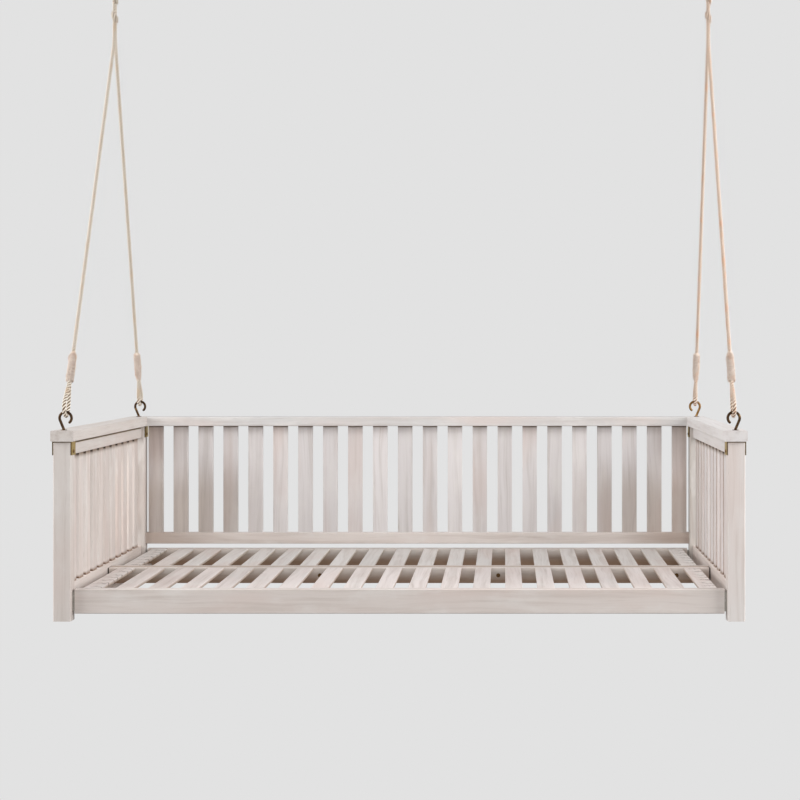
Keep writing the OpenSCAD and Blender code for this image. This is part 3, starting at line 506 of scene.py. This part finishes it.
# %% The whippings
TWINE = 0.0036
TWINE_LAY = 0.009
TWINE_STRANDS = 2
WHIPPING_TURNS = 27
TURN_STEPS = 36
WHIPPING_RADIUS = 0.0108
END_SHARE = 0.72
RADIUS_WOBBLE = 0.0006
TILT_WOBBLE = 0.0011
FULL_FROM = {"front": (0.02, 0.16), "rear": (0.34, 0.06)}
rng = np.random.default_rng(7)


def uneven(count, turns, amount):
    """A wobble that changes steadily from turn to turn: seeded values, one per turn, joined by straight
    lines."""
    return np.interp(np.linspace(0, turns, count), np.arange(turns + 1), rng.normal(0, amount, turns + 1))


def swelling(row, t):
    """The share of its full radius that a whipping has: END_SHARE at both ends, 1 in between."""
    foot, top = FULL_FROM[row]
    return END_SHARE + (1 - END_SHARE) * smooth(np.clip(np.minimum(t / foot, (1 - t) / top), 0, 1))


def wound_twine(row, side, turns, lift):
    """The helix leg + R(t) (cos a across + sin a x), with R the whipping's radius times its swelling, plus
    lift and a seeded wobble. Each turn is tilted by its own seeded height times sin(a), which fades out over
    a twelfth of the length at both ends. The crest falls towards the twine's inner side, and it fades at the
    foot of the whipping: both are painted shade."""
    leg = legs[row]
    count = int(max(abs(turns), 8) * TURN_STEPS) + 1
    whole = int(np.ceil(abs(turns)))
    t = np.linspace(0, 1, count)
    a = 2 * np.pi * turns * t
    radius = WHIPPING_RADIUS * swelling(row, t) + lift + uneven(count, whole, RADIUS_WOBBLE)
    tilt = uneven(count, whole, TILT_WOBBLE) * np.sin(a) * smooth(np.clip(np.minimum(t, 1 - t) * 12, 0, 1))
    along = leg.eye + TWINE / 2 + (WHIPPING_LENGTH - TWINE) * t + tilt
    out = np.cos(a)[:, None] * np.array([0, *leg.across]) + np.sin(a)[:, None] * np.array([1.0, 0, 0])
    axis = np.column_stack([np.full(count, rope_x[side]), leg.at(along[:, None])])
    tubes = laid(axis + radius[:, None] * out, out, TWINE, TWINE_STRANDS, TWINE_LAY, 6)
    foot_shade = smooth(np.clip(t / 0.04, 0.05, 1))[:, None]
    inner = (radius - TWINE / 2)[:, None]
    reach = [(np.linalg.norm(grid - axis[:, None], axis=-1) - inner) / TWINE for grid, _ in tubes]
    return [(grid, foot_shade * np.clip(out_by, 0, 1)) for (grid, _), out_by in zip(tubes, reach)]


def under_layer(row, side):
    """The layer of twine under the turns that show: one smooth tube, a little darker than their crests, a
    painted shade.
    """
    rings, sides, crest = 41, 20, 0.2
    leg, t = legs[row], np.linspace(0, 1, rings)
    axis = np.column_stack([np.full(rings, rope_x[side]), leg.at((leg.eye + WHIPPING_LENGTH * t)[:, None])])
    across = np.tile([0, *leg.across], (rings, 1))
    radius = WHIPPING_RADIUS * swelling(row, t) - TWINE / 2
    return tube_grid(axis, across, radius, sides), np.full((rings, sides), crest)


CROSSING_TURNS = -1.6
CROSSING_LIFT = 0.0012
bindings = {side: [] for side in SIDES}
for side in SIDES:
    for row in ROWS:
        twine = wound_twine(row, side, WHIPPING_TURNS, 0)
        twine += wound_twine(row, side, CROSSING_TURNS, CROSSING_LIFT)
        twine.append(under_layer(row, side))
        whipping = tubes_object(f"twine_{row}_{side}", twine, twine_fibre)
        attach(whipping, f"rope_{side}")
        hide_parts(f"whipping_{row}_{side}")
        bindings[side].append(whipping)
print(f"{2 * len(ROWS)} whippings of {WHIPPING_TURNS} turns, {len(whipping.data.polygons)} faces each")

# %% The seizings
SEIZING_TWINE = 0.0056
SEIZING_TURNS = 4
SEIZING_LAY = 0.016
SEIZING_BITE = 0.0008
SLANT = 0.0065
seizing_radius = ROPE / 2 + SEIZING_TWINE / 2 - SEIZING_BITE


def seizing_tubes(foot, side):
    """Ovals round the pair: a circle whose halves are pushed apart by pair_offset tanh(3 cos a), climbing
    turn by turn, and lowered by SLANT sin(a), so that each turn crosses the front on a steep slant."""
    count = SEIZING_TURNS * 2 * TURN_STEPS + 1
    t = np.linspace(0, 1, count)
    a = 2 * np.pi * SEIZING_TURNS * t
    out = np.column_stack([np.sin(a), np.cos(a), np.zeros(count)])
    apart = pair_offset * np.tanh(3 * np.cos(a))
    z = foot + SEIZING_TWINE / 2 + (SEIZING_LENGTH - SEIZING_TWINE) * t - SLANT * np.sin(a)
    axis = np.column_stack([np.full(count, rope_x[side]), apart, z])
    tubes = laid(axis + seizing_radius * out, out, SEIZING_TWINE, TWINE_STRANDS, SEIZING_LAY, 8)
    inner = seizing_radius - SEIZING_TWINE / 2
    reach = [(np.linalg.norm(grid - axis[:, None], axis=-1) - inner) / SEIZING_TWINE for grid, _ in tubes]
    # The crest falls towards the twine's inner side and into its hollows, a painted shade that never goes
    # below 0.6.
    return [(grid, 0.6 + 0.4 * crest * np.clip(out_by, 0, 1)) for (grid, crest), out_by in zip(tubes, reach)]


for side in SIDES:
    feet = (fork_z + SEIZING_RISE, fork_z + SEIZING_RISE + SEIZING_SPACING)
    tubes = [tube for foot in feet for tube in seizing_tubes(foot, side)]
    seizing = tubes_object(f"seizing_twine_{side}", tubes, rope_fibre[side])
    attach(seizing, f"rope_{side}")
    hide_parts(f"seizings_{side}")
    bindings[side].append(seizing)
print("seizings of", SEIZING_TURNS, "turns")

# %% [markdown]
# ## Whitewashed wood
#
# The boards are pale wood under a thin grey-white wash: long soft streaks, fine
# dark pores along the grain, cloudy patches where the wash is thicker, and a
# faint pink where it is thin. Everything is noise stretched along the grain. One
# node group holds it; each material turns it to its boards' direction. A group of
# slats is one mesh, so the group also works out which slat a point is on, and
# gives each slat its own stretch of wood and its own tone. The seat's end slats
# still show the saw, so the group can add its marks too.

# %% The washed wood group
wood, given, gives = group(
    "Washed wood",
    {"Vector": (VECTOR, None), "Across": (FLOAT, 0.0), "Start": (FLOAT, 0.0), "Pitch": (FLOAT, 10.0),
     "Seed": (FLOAT, 0.0), "Body": (COLOUR, None), "Dark": (COLOUR, None), "Wash": (COLOUR, None),
     "Pink": (COLOUR, None), "Saw marks": (FLOAT, 0.0)},
    {"Color": COLOUR, "Roughness": FLOAT, "Height": FLOAT})
slats_in = calc(wood, "DIVIDE", calc(wood, "SUBTRACT", given["Across"], given["Start"]), given["Pitch"])
number = calc(wood, "FLOOR", slats_in)
chance = add(wood, "ShaderNodeTexWhiteNoise", {"W": calc(wood, "ADD", number, given["Seed"])},
             noise_dimensions="1D").outputs
shifted = add(wood, "ShaderNodeVectorMath", {0: chance["Color"], 1: (7.0, 3.0, 3.0), 2: given["Vector"]},
              operation="MULTIPLY_ADD").outputs[0]
# Sizes are along the grain, across it and through it.
sway = noise(wood, shifted, (0.45, 0.09, 0.09), 2)
sway = add(wood, "ShaderNodeCombineXYZ", {"Y": calc(wood, "MULTIPLY_ADD", sway, 0.05, -0.025)}).outputs[0]
grain = add(wood, "ShaderNodeVectorMath", {0: shifted, 1: sway}, operation="ADD").outputs[0]
broad = noise(wood, grain, (0.55, 0.02, 0.02), 3, 0.55)
streak = noise(wood, grain, (0.22, 0.0055, 0.0055), 4, 0.6)
pores = noise(wood, grain, (0.03, 0.0011, 0.0011), 2, 0.6)
cloud = noise(wood, shifted, (0.16, 0.06, 0.06), 4, 0.6)
blush = noise(wood, shifted, (0.5, 0.12, 0.12), 2)
dark = calc(wood, "ADD", calc(wood, "MULTIPLY", between(wood, broad, 0.42, 0.72), 0.38),
            calc(wood, "MULTIPLY", between(wood, streak, 0.5, 0.8), 0.34))
dark = calc(wood, "ADD", dark, calc(wood, "MULTIPLY", between(wood, pores, 0.6, 0.8), 0.22))
colour = mixed(wood, dark, given["Body"], given["Dark"])
colour = mixed(wood, calc(wood, "MULTIPLY", between(wood, blush, 0.48, 0.7), 0.45), colour, given["Pink"])
colour = mixed(wood, calc(wood, "MULTIPLY", between(wood, cloud, 0.45, 0.75), 0.5), colour, given["Wash"])
# Saw marks are dark furrows across the grain, 15 to the metre, bent by the cloud, with pale crowns between.
along = add(wood, "ShaderNodeSeparateXYZ", {"Vector": shifted}).outputs["X"]
bands = calc(wood, "MULTIPLY_ADD", cloud, 2.2, calc(wood, "MULTIPLY", along, 15.0))
bands = calc(wood, "ABSOLUTE", calc(wood, "SINE", calc(wood, "MULTIPLY", bands, np.pi)))
share = calc(wood, "FRACT", slats_in)
marked = calc(wood, "MULTIPLY", between(wood, share, 0.25, 0.6), given["Saw marks"])
furrow = calc(wood, "MULTIPLY", between(wood, bands, 0.3, 0.0), marked)
crown = calc(wood, "MULTIPLY", between(wood, bands, 0.6, 1.0), marked)
colour = mixed(wood, calc(wood, "MULTIPLY", crown, 0.5), colour, given["Wash"])
FURROW_BROWN = (0.1, 0.08, 0.065, 1.0)
colour = mixed(wood, calc(wood, "MULTIPLY", furrow, 0.8), colour, FURROW_BROWN)
tone = between(wood, chance["Value"], 0.0, 1.0, 0.94, 1.05)
tone = add(wood, "ShaderNodeCombineColor", {"Red": tone, "Green": tone, "Blue": tone}).outputs[0]
wood.links.new(mixed(wood, 1.0, colour, tone, "MULTIPLY"), gives["Color"])
wood.links.new(calc(wood, "MULTIPLY_ADD", dark, 0.25, 0.52), gives["Roughness"])
hollows = calc(wood, "MULTIPLY_ADD", pores, 0.5, calc(wood, "MULTIPLY", streak, 0.5))
height = calc(wood, "SUBTRACT", 1.0, hollows)
wood.links.new(calc(wood, "SUBTRACT", height, furrow), gives["Height"])
print("washed wood group with", len(wood.nodes), "nodes")

# %% [markdown]
# ## Which way the boards run
#
# A board is cut along its grain, so the grain runs the length of every board:
# along the bed in the rails, across it in the seat slats, and upright in the
# posts and the slats of the sides and the back. Each of these gets its own
# material from the one group, with the colours of that part of the bed. The same
# function also lays on the tints of painted shade that the next cells write down.

# %% One wood material for each kind of board
WASH, PINK = rgb(226, 222, 218), rgb(212, 194, 186)
GRAIN = {"X": ("X", "Z", "Y"), "Y": ("Y", "X", "Z"), "Z": ("Z", "X", "Y")}


def wood_material(name, grain_axis, body, dark_tone, seed, slats=None, saw_beyond=None, shades=()):
    """The wood group turned to a grain direction. slats is (axis, start, pitch) for a group of slats;
    saw_beyond is the distance from the bed's middle past which slats show saw marks. Each of shades is a
    painted shade or highlight: a tint and its places (axis, middle, full to, gone by). The tint multiplies
    the colour wherever the distance from every middle is within full to, and it fades away until gone by."""
    made, tree, bsdf = material(name, Specular_IOR_Level=0.35)
    place = add(tree, "ShaderNodeTexCoord").outputs["Object"]
    axes = add(tree, "ShaderNodeSeparateXYZ", {"Vector": place}).outputs
    turned = add(tree, "ShaderNodeCombineXYZ", dict(zip("XYZ", (axes[a] for a in GRAIN[grain_axis]))))
    inputs = {"Vector": turned.outputs[0], "Seed": seed, "Body": body, "Dark": dark_tone,
              "Wash": WASH, "Pink": PINK}
    if slats:
        axis, start, pitch = slats
        inputs |= {"Across": axes[axis], "Start": start, "Pitch": pitch}
    if saw_beyond:
        inputs["Saw marks"] = calc(tree, "GREATER_THAN", calc(tree, "ABSOLUTE", axes["X"]), saw_beyond)
    out = use(tree, wood, inputs)
    colour = out["Color"]
    for tint, *places in shades:
        share = 1.0
        for axis, at, full_to, gone_by in places:
            away = calc(tree, "ABSOLUTE", calc(tree, "SUBTRACT", axes[axis], at))
            share = calc(tree, "MULTIPLY", share, between(tree, away, gone_by, full_to))
        colour = mixed(tree, share, colour, tint, "MULTIPLY")
    tree.links.new(out["Roughness"], bsdf.inputs["Roughness"])
    cover(tree, bsdf, colour, out["Height"], strength=0.35, depth=0.0005)
    return made


def slat_row(node, axis, slat_width, count):
    """Where a row of slats starts, half a gap before the first, and its pitch, which is
    (box length - width) / (count - 1)."""
    low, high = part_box(node)
    i = "XYZ".index(axis)
    pitch = (high[i] - low[i] - slat_width) / (count - 1)
    return axis, low[i] - (pitch - slat_width) / 2, pitch


SLAT = 0.051
side_row = slat_row("side_slats_left", "Y", SLAT, 11)
back_row = slat_row("back_slats", "X", SLAT, 22)
seat_row = slat_row("seat_slats_front", "X", SLAT, 20)
end_slats_from = -(seat_row[1] + seat_row[2])
print(f"pitch of side slats {side_row[2]:.4f}, back slats {back_row[2]:.4f}, seat slats {seat_row[2]:.4f} m")

# %% [markdown]
# ## Shade where boards meet
#
# In the photograph the joints and gaps are darker than large soft lamps make
# them, and the back's ends lie in a soft dusk. Smaller lamps could throw these,
# and would sharpen every other shadow too. So those places carry painted shade:
# tints, each written as a colour and its places: (axis, middle, full to, gone by),
# in metres. The price is that painted shade stays when the light changes. The
# slats of the left side catch more light on their edges towards the rear, so one
# tint there is a painted highlight, above 1.

# %% Shade on the slats of the sides
TENON = 0.01
side_low, side_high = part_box("side_slats_right")
side_top, side_foot = side_high.z - TENON, side_low.z + TENON
inner_face, outer_face = side_low.x, side_high.x
slat_depth = outer_face - inner_face
behind_face = (slat_depth - 0.0015, slat_depth - 0.0003)
in_gap = {side: ("X", way * outer_face, *behind_face) for side, way in SIDES.items()}
# Painted shade: the slats darken towards their tops and feet where they meet the rails, and most of all on
# their edges inside the gaps.
side_shades = {side: [
    (rgb(150, 132, 112), ("Z", side_top, 0.0, 0.02)),
    (rgb(172, 150, 132), ("Z", side_foot, 0.0, 0.014)),
    (rgb(104, 86, 70), in_gap[side], ("Z", side_top, 0.003, 0.012)),
    (rgb(152, 132, 114), in_gap[side], ("Z", side_foot, 0.002, 0.009)),
] for side in SIDES}
# Painted highlight: on the left, the slats' edges inside the gaps are lighter towards the rear, halfway up.
PAINTED_HIGHLIGHT = (1.14, 1.13, 1.12, 1.0)
side_shades["left"].append((PAINTED_HIGHLIGHT, in_gap["left"], ("Y", side_high.y, 0.25, 0.45),
                            ("Z", (side_top + side_foot) / 2, 0.1, 0.16)))
# Painted shade on the right slats: a thin brown line on each edge 4 mm behind the inner face, beside the next
# slat, and a soft darkening towards the rear.
side_shades["right"] += [(rgb(178, 156, 140), ("X", inner_face + 0.0042, 0.0008, 0.0022)),
                         (rgb(232, 228, 224), ("Y", side_high.y, 0.0, 0.3))]
print("tints on the side slats:", ", ".join(f"{side} {len(side_shades[side])}" for side in SIDES))

# %% Shade on the back
cap_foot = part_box("back_cap")[0].z
back_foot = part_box("back_bottom_rail")[1].z
back_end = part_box("back_slats")[1].x
# Painted shadow: a thin dark line along the tops of the back slats, under the cap.
back_shades = [(rgb(136, 120, 102), ("Z", cap_foot, 0.0035, 0.0065))]
rail_shades = []
for way in SIDES.values():
    end = way * back_end
    # Painted shadow of the arms: the back slats darken towards each end, widely low down and narrowly under
    # the cap, and the rail below them darkens towards its ends.
    back_shades += [(rgb(220, 214, 208), ("X", end, 0.2, 0.46), ("Z", back_foot, 0.12, 0.29)),
                    (rgb(225, 218, 214), ("X", end, 0.05, 0.15), ("Z", cap_foot, 0.08, 0.2))]
    rail_shades.append((rgb(214, 206, 200), ("X", end, 0.02, 0.3)))
print(f"{len(back_shades)} tints on the back slats, {len(rail_shades)} on the rail below them")

# %% Shade under the left arm and round the seat
arm_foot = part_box("side_top_rail_left")[1].z
# Painted shadow: a dark line where the left arm cap overhangs the top of its rail.
under_arm = [(rgb(150, 132, 98), ("Z", arm_foot, 0.001, 0.0045))]
rail_low, rail_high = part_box("seat_middle_rail_front")
seam_y = rail_high.y
rail_width = rail_high.y - rail_low.y
rail_middle, rail_half = (rail_low.z + rail_high.z) / 2, (rail_high.z - rail_low.z) / 2
side_rail_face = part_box("side_bottom_rail_right")[0].x
# Painted shade: a dark slit on the low side rails' inner faces, in the narrow gaps where the middle rails
# end.
rail_ends = [(rgb(84, 70, 58), ("X", 0.0, side_rail_face + 0.001, side_rail_face + 0.003),
              ("Y", seam_y, rail_width - 0.001, rail_width),
              ("Z", rail_middle, rail_half - 0.003, rail_half))]
seat_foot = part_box("seat_slats_front")[0].z
# The inner seat rails darken downwards below the slats, a painted shade, and in a band along the seam where
# the two middle rails meet.
under_seat = [(rgb(196, 170, 148), ("Z", seat_foot - 0.04, 0.0, 0.045)),
              (rgb(204, 182, 166), ("Y", seam_y, 0.002, 0.012))]
# Painted shade: the seat slats darken towards their undersides, so the walls of the gaps grow darker
# downwards.
under_slat = [(rgb(190, 172, 152), ("Z", seat_foot, 0.0, 0.012))]
print(f"the seat's seam lies at {seam_y:.4f}, and its slats' undersides at {seat_foot:.4f}")

# %% Wood on the boards
# The rear posts are a darker copy of the post wood, a painted shade, and the front right post, the right arm
# and the right slats lighter copies, a painted light.
pale, taupe, rear_dark = rgb(214, 206, 200), rgb(176, 162, 152), rgb(162, 148, 138)
seat_look = {"slats": seat_row, "saw_beyond": end_slats_from, "shades": under_slat}
BOARDS = [
    ("front left post wood", "Z", pale, taupe, 11, {}, ["post_front_left"]),
    ("front right post wood", "Z", rgb(221, 215, 211), taupe, 13, {}, ["post_front_right"]),
    ("rear left post wood", "Z", rgb(197, 189, 183), rear_dark, 17, {}, ["post_rear_left"]),
    ("rear right post wood", "Z", rgb(192, 187, 181), rear_dark, 19, {}, ["post_rear_right"]),
    ("left arm wood", "Y", pale, taupe, 23, {"shades": under_arm}, ["arm_cap_left", "side_top_rail_left"]),
    ("right arm wood", "Y", rgb(224, 220, 218), rgb(188, 178, 172), 29, {},
     ["arm_cap_right", "side_top_rail_right"]),
    ("low side rails wood", "Y", rgb(226, 214, 207), taupe, 31, {"shades": rail_ends},
     ["side_bottom_rail_left", "side_bottom_rail_right", "cleat_left", "cleat_right"]),
    ("front rail wood", "X", rgb(214, 205, 199), taupe, 37, {}, ["seat_front_rail", "cap_dowels"]),
    ("back cap wood", "X", rgb(201, 199, 197), rgb(166, 157, 151), 37, {}, ["back_cap"]),
    ("back rail wood", "X", rgb(220, 211, 205), taupe, 43, {"shades": rail_shades}, ["back_bottom_rail"]),
    ("inner seat rails wood", "X", rgb(220, 210, 202), taupe, 47, {"shades": under_seat},
     ["seat_rear_rail", "seat_middle_rail_front", "seat_middle_rail_rear"]),
    ("left slats wood", "Z", rgb(217, 207, 201), taupe, 41,
     {"slats": side_row, "shades": side_shades["left"]}, ["side_slats_left"]),
    ("right slats wood", "Z", rgb(229, 224, 223), rgb(190, 180, 172), 59,
     {"slats": side_row, "shades": side_shades["right"]}, ["side_slats_right"]),
    ("back slats wood", "Z", rgb(220, 215, 214), rgb(176, 167, 160), 53,
     {"slats": back_row, "shades": back_shades}, ["back_slats"]),
    ("front seat slats wood", "Y", rgb(231, 221, 217), taupe, 67, seat_look, ["seat_slats_front"]),
    ("rear seat slats wood", "Y", rgb(221, 216, 212), taupe, 71, seat_look, ["seat_slats_rear"]),
]
for name, axis, body, dark_tone, seed, extras, members in BOARDS:
    boards = wood_material(name, axis, body, dark_tone, seed, **extras)
    for member in members:
        nodes[member].material_slots[0].material = boards
    print(f"{name}: {len(members)} nodes")

# %% [markdown]
# ## Steel, bronze and brass
#
# The hooks and hangers have a dark bronze finish that is rubbed bright in places,
# and one bed hook is golden. The screws and bolts that show are bronze too, the
# straps over the posts are dull yellow brass plate, and the plates, screws, bolts
# and nuts out of sight are zinc plated. All are metal with the same cloudy rub and
# fine specks, so one group makes both and each material gives it two colours.

# %% The worn metal group and its materials
metal, given, gives = group(
    "Worn metal",
    {"Body": (COLOUR, None), "Rubbed": (COLOUR, None), "Wear": (FLOAT, 0.5), "Rough": (FLOAT, 0.4)},
    {"Color": COLOUR, "Roughness": FLOAT, "Height": FLOAT})
place = add(metal, "ShaderNodeTexCoord").outputs["Object"]
cloud = noise(metal, place, (0.012, 0.012, 0.012), 4, 0.6)
speck = noise(metal, place, (0.0016, 0.0016, 0.0016), 3, 0.6)
rub = calc(metal, "MULTIPLY", between(metal, cloud, 0.5, 0.68), given["Wear"])
metal.links.new(mixed(metal, rub, given["Body"], given["Rubbed"]), gives["Color"])
metal.links.new(calc(metal, "MULTIPLY_ADD", speck, 0.2, given["Rough"]), gives["Roughness"])
metal.links.new(speck, gives["Height"])


SKIN = 0.0003


def metal_material(name, body, rubbed, wear, rough, cut_edges=None):
    """A metal shader fed by the worn metal group. cut_edges, for parts cut across the bed's depth, is the
    depths of their middles and half their own depth: where the distance from the nearest middle is over
    half - SKIN, the metal shows the dark skin of the cut."""
    made, tree, bsdf = material(name, Metallic=1.0)
    out = use(tree, metal, {"Body": body, "Rubbed": rubbed, "Wear": wear, "Rough": rough})
    colour = out["Color"]
    if cut_edges:
        middles, half = cut_edges
        place = add(tree, "ShaderNodeTexCoord").outputs["Object"]
        depth = add(tree, "ShaderNodeSeparateXYZ", {"Vector": place}).outputs["Y"]
        away = [calc(tree, "ABSOLUTE", calc(tree, "SUBTRACT", depth, at)) for at in middles]
        on_edge = calc(tree, "GREATER_THAN", calc(tree, "MINIMUM", *away), half - SKIN)
        colour = mixed(tree, on_edge, colour, rgb(96, 80, 54))
    tree.links.new(out["Roughness"], bsdf.inputs["Roughness"])
    cover(tree, bsdf, colour, out["Height"], strength=0.2, depth=0.0002)
    return made


def named(*starts):
    """The nodes whose names start with one of the given words."""
    return [name for name in nodes if name.startswith(starts)]


strap_low, strap_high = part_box("strap_front_left")
strap_edges = ([middle(f"strap_{row}_left")[1] for row in ROWS], (strap_high.y - strap_low.y) / 2)
METALS = [
    ("dark bronze", rgb(66, 50, 36), rgb(144, 114, 78), 0.6, 0.3, None,
     named("hook_front", "hook_rear_left", "hook_washers", "hanger_hook", "hanger_bracket")),
    ("golden bronze", rgb(118, 88, 50), rgb(190, 152, 100), 0.7, 0.3, None, ["hook_rear_right"]),
    ("screw bronze", rgb(96, 72, 48), rgb(178, 142, 96), 0.5, 0.35, None,
     ["strap_screws", "seat_joining_bolts"]),
    ("strap brass", rgb(172, 147, 82), rgb(200, 176, 110), 0.6, 0.34, strap_edges,
     named("strap_front", "strap_rear")),
    ("zinc plate", rgb(150, 146, 140), rgb(190, 188, 184), 0.5, 0.35, None,
     ["cleat_screws", "hook_plates_posts", "hook_plates_seat", "seat_joining_nuts", "hook_nuts",
      "hanger_bolts", "hanger_nuts"]),
]
for name, body, rubbed, wear, rough, cut_edges, members in METALS:
    plate = metal_material(name, body, rubbed, wear, rough, cut_edges)
    for member in members:
        nodes[member].material_slots[0].material = plate
    print(f"{name}: {len(members)} nodes")

# %% [markdown]
# ## Floor, background and light
#
# The photograph shows the bed on an even pale grey with no floor line. The world
# has that grey for the camera's rays, for reflections and for rays through glass,
# and a plain sky for lighting. The floor lies below the picture and fades into
# the same grey, yet it keeps the bed's shadow near the middle. Three large soft
# lamps do the rest, all higher than the bed: a window on either side of it and a
# weak fill in front.

# %% World and floor
BACKGROUND = rgb(226, 226, 226)
SKY_STRENGTH = 0.6


def seen_directly(tree):
    """1 for rays from the camera, and those mirrored or refracted to it, else 0."""
    path = add(tree, "ShaderNodeLightPath").outputs
    seen = calc(tree, "MAXIMUM", path["Is Camera Ray"], path["Is Glossy Ray"])
    return calc(tree, "MAXIMUM", seen, path["Is Transmission Ray"])


world = bpy.data.worlds.new("grey room")
bpy.context.scene.world = world
world.use_nodes = True
tree = world.node_tree
tree.nodes.clear()
sky = add(tree, "ShaderNodeBackground", {"Color": rgb(250, 250, 252), "Strength": SKY_STRENGTH})
grey = add(tree, "ShaderNodeBackground", {"Color": BACKGROUND, "Strength": 1.0})
which = add(tree, "ShaderNodeMixShader", {0: seen_directly(tree), 1: sky.outputs[0], 2: grey.outputs[0]})
add(tree, "ShaderNodeOutputWorld", {"Surface": which.outputs[0]})

FLOOR_DROP = 1.3
FLOOR_RADIUS = 8.0
FLOOR_SIDES = 96
FADE_FROM, FADE_TO = 0.9, 2.2
turn = np.arange(FLOOR_SIDES) * 2 * np.pi / FLOOR_SIDES
floor_z = feet_z - FLOOR_DROP
rim = FLOOR_RADIUS * np.column_stack([np.cos(turn), np.sin(turn), np.zeros(FLOOR_SIDES)])
rim[:, 2] = floor_z
floor_mesh = bpy.data.meshes.new("floor")
floor_mesh.from_pydata(rim.tolist(), [], [list(range(FLOOR_SIDES))])
floor = bpy.data.objects.new("floor", floor_mesh)
bpy.context.collection.objects.link(floor)

floor_paint = bpy.data.materials.new("floor paint")
floor_paint.use_nodes = True
tree = floor_paint.node_tree
tree.nodes.clear()
light_path = add(tree, "ShaderNodeLightPath").outputs
paint = mixed(tree, light_path["Is Diffuse Ray"], BACKGROUND, rgb(128, 124, 120))
matt = add(tree, "ShaderNodeBsdfDiffuse", {"Color": paint})
glow = add(tree, "ShaderNodeEmission", {"Color": BACKGROUND, "Strength": 1.0})
spot = add(tree, "ShaderNodeTexCoord").outputs["Object"]
flat = add(tree, "ShaderNodeVectorMath", {0: spot, 1: (1, 1, 0)}, operation="MULTIPLY").outputs[0]
away = add(tree, "ShaderNodeVectorMath", {0: flat}, operation="LENGTH").outputs["Value"]
fade = between(tree, away, FADE_FROM, FADE_TO, 0.5, 1.0)
look = add(tree, "ShaderNodeMixShader",
           {0: calc(tree, "MULTIPLY", seen_directly(tree), fade), 1: matt.outputs[0], 2: glow.outputs[0]})
add(tree, "ShaderNodeOutputMaterial", {"Surface": look.outputs[0]})
floor_mesh.materials.append(floor_paint)
print(f"floor {FLOOR_DROP} m below the feet")


# %% Lamps
def lamp(name, place, target, size, power):
    """A square area lamp turned so that its face looks at the target."""
    data = bpy.data.lights.new(name, "AREA")
    data.shape, data.size, data.energy = "SQUARE", size, power
    made = bpy.data.objects.new(name, data)
    bpy.context.collection.objects.link(made)
    made.location = place
    made.rotation_euler = (Vector(target) - made.location).to_track_quat("-Z", "Y").to_euler()
    return made


bed_middle = (0.0, 0.0, feet_z + 0.3)
lamp("left window", (-4.0, -1.4, -0.4), bed_middle, 2.4, 132)
lamp("right window", (4.0, -1.4, -0.4), bed_middle, 2.4, 160)
lamp("front fill", (0.4, -4.6, -0.6), bed_middle, 2.6, 27)
print("three lamps")
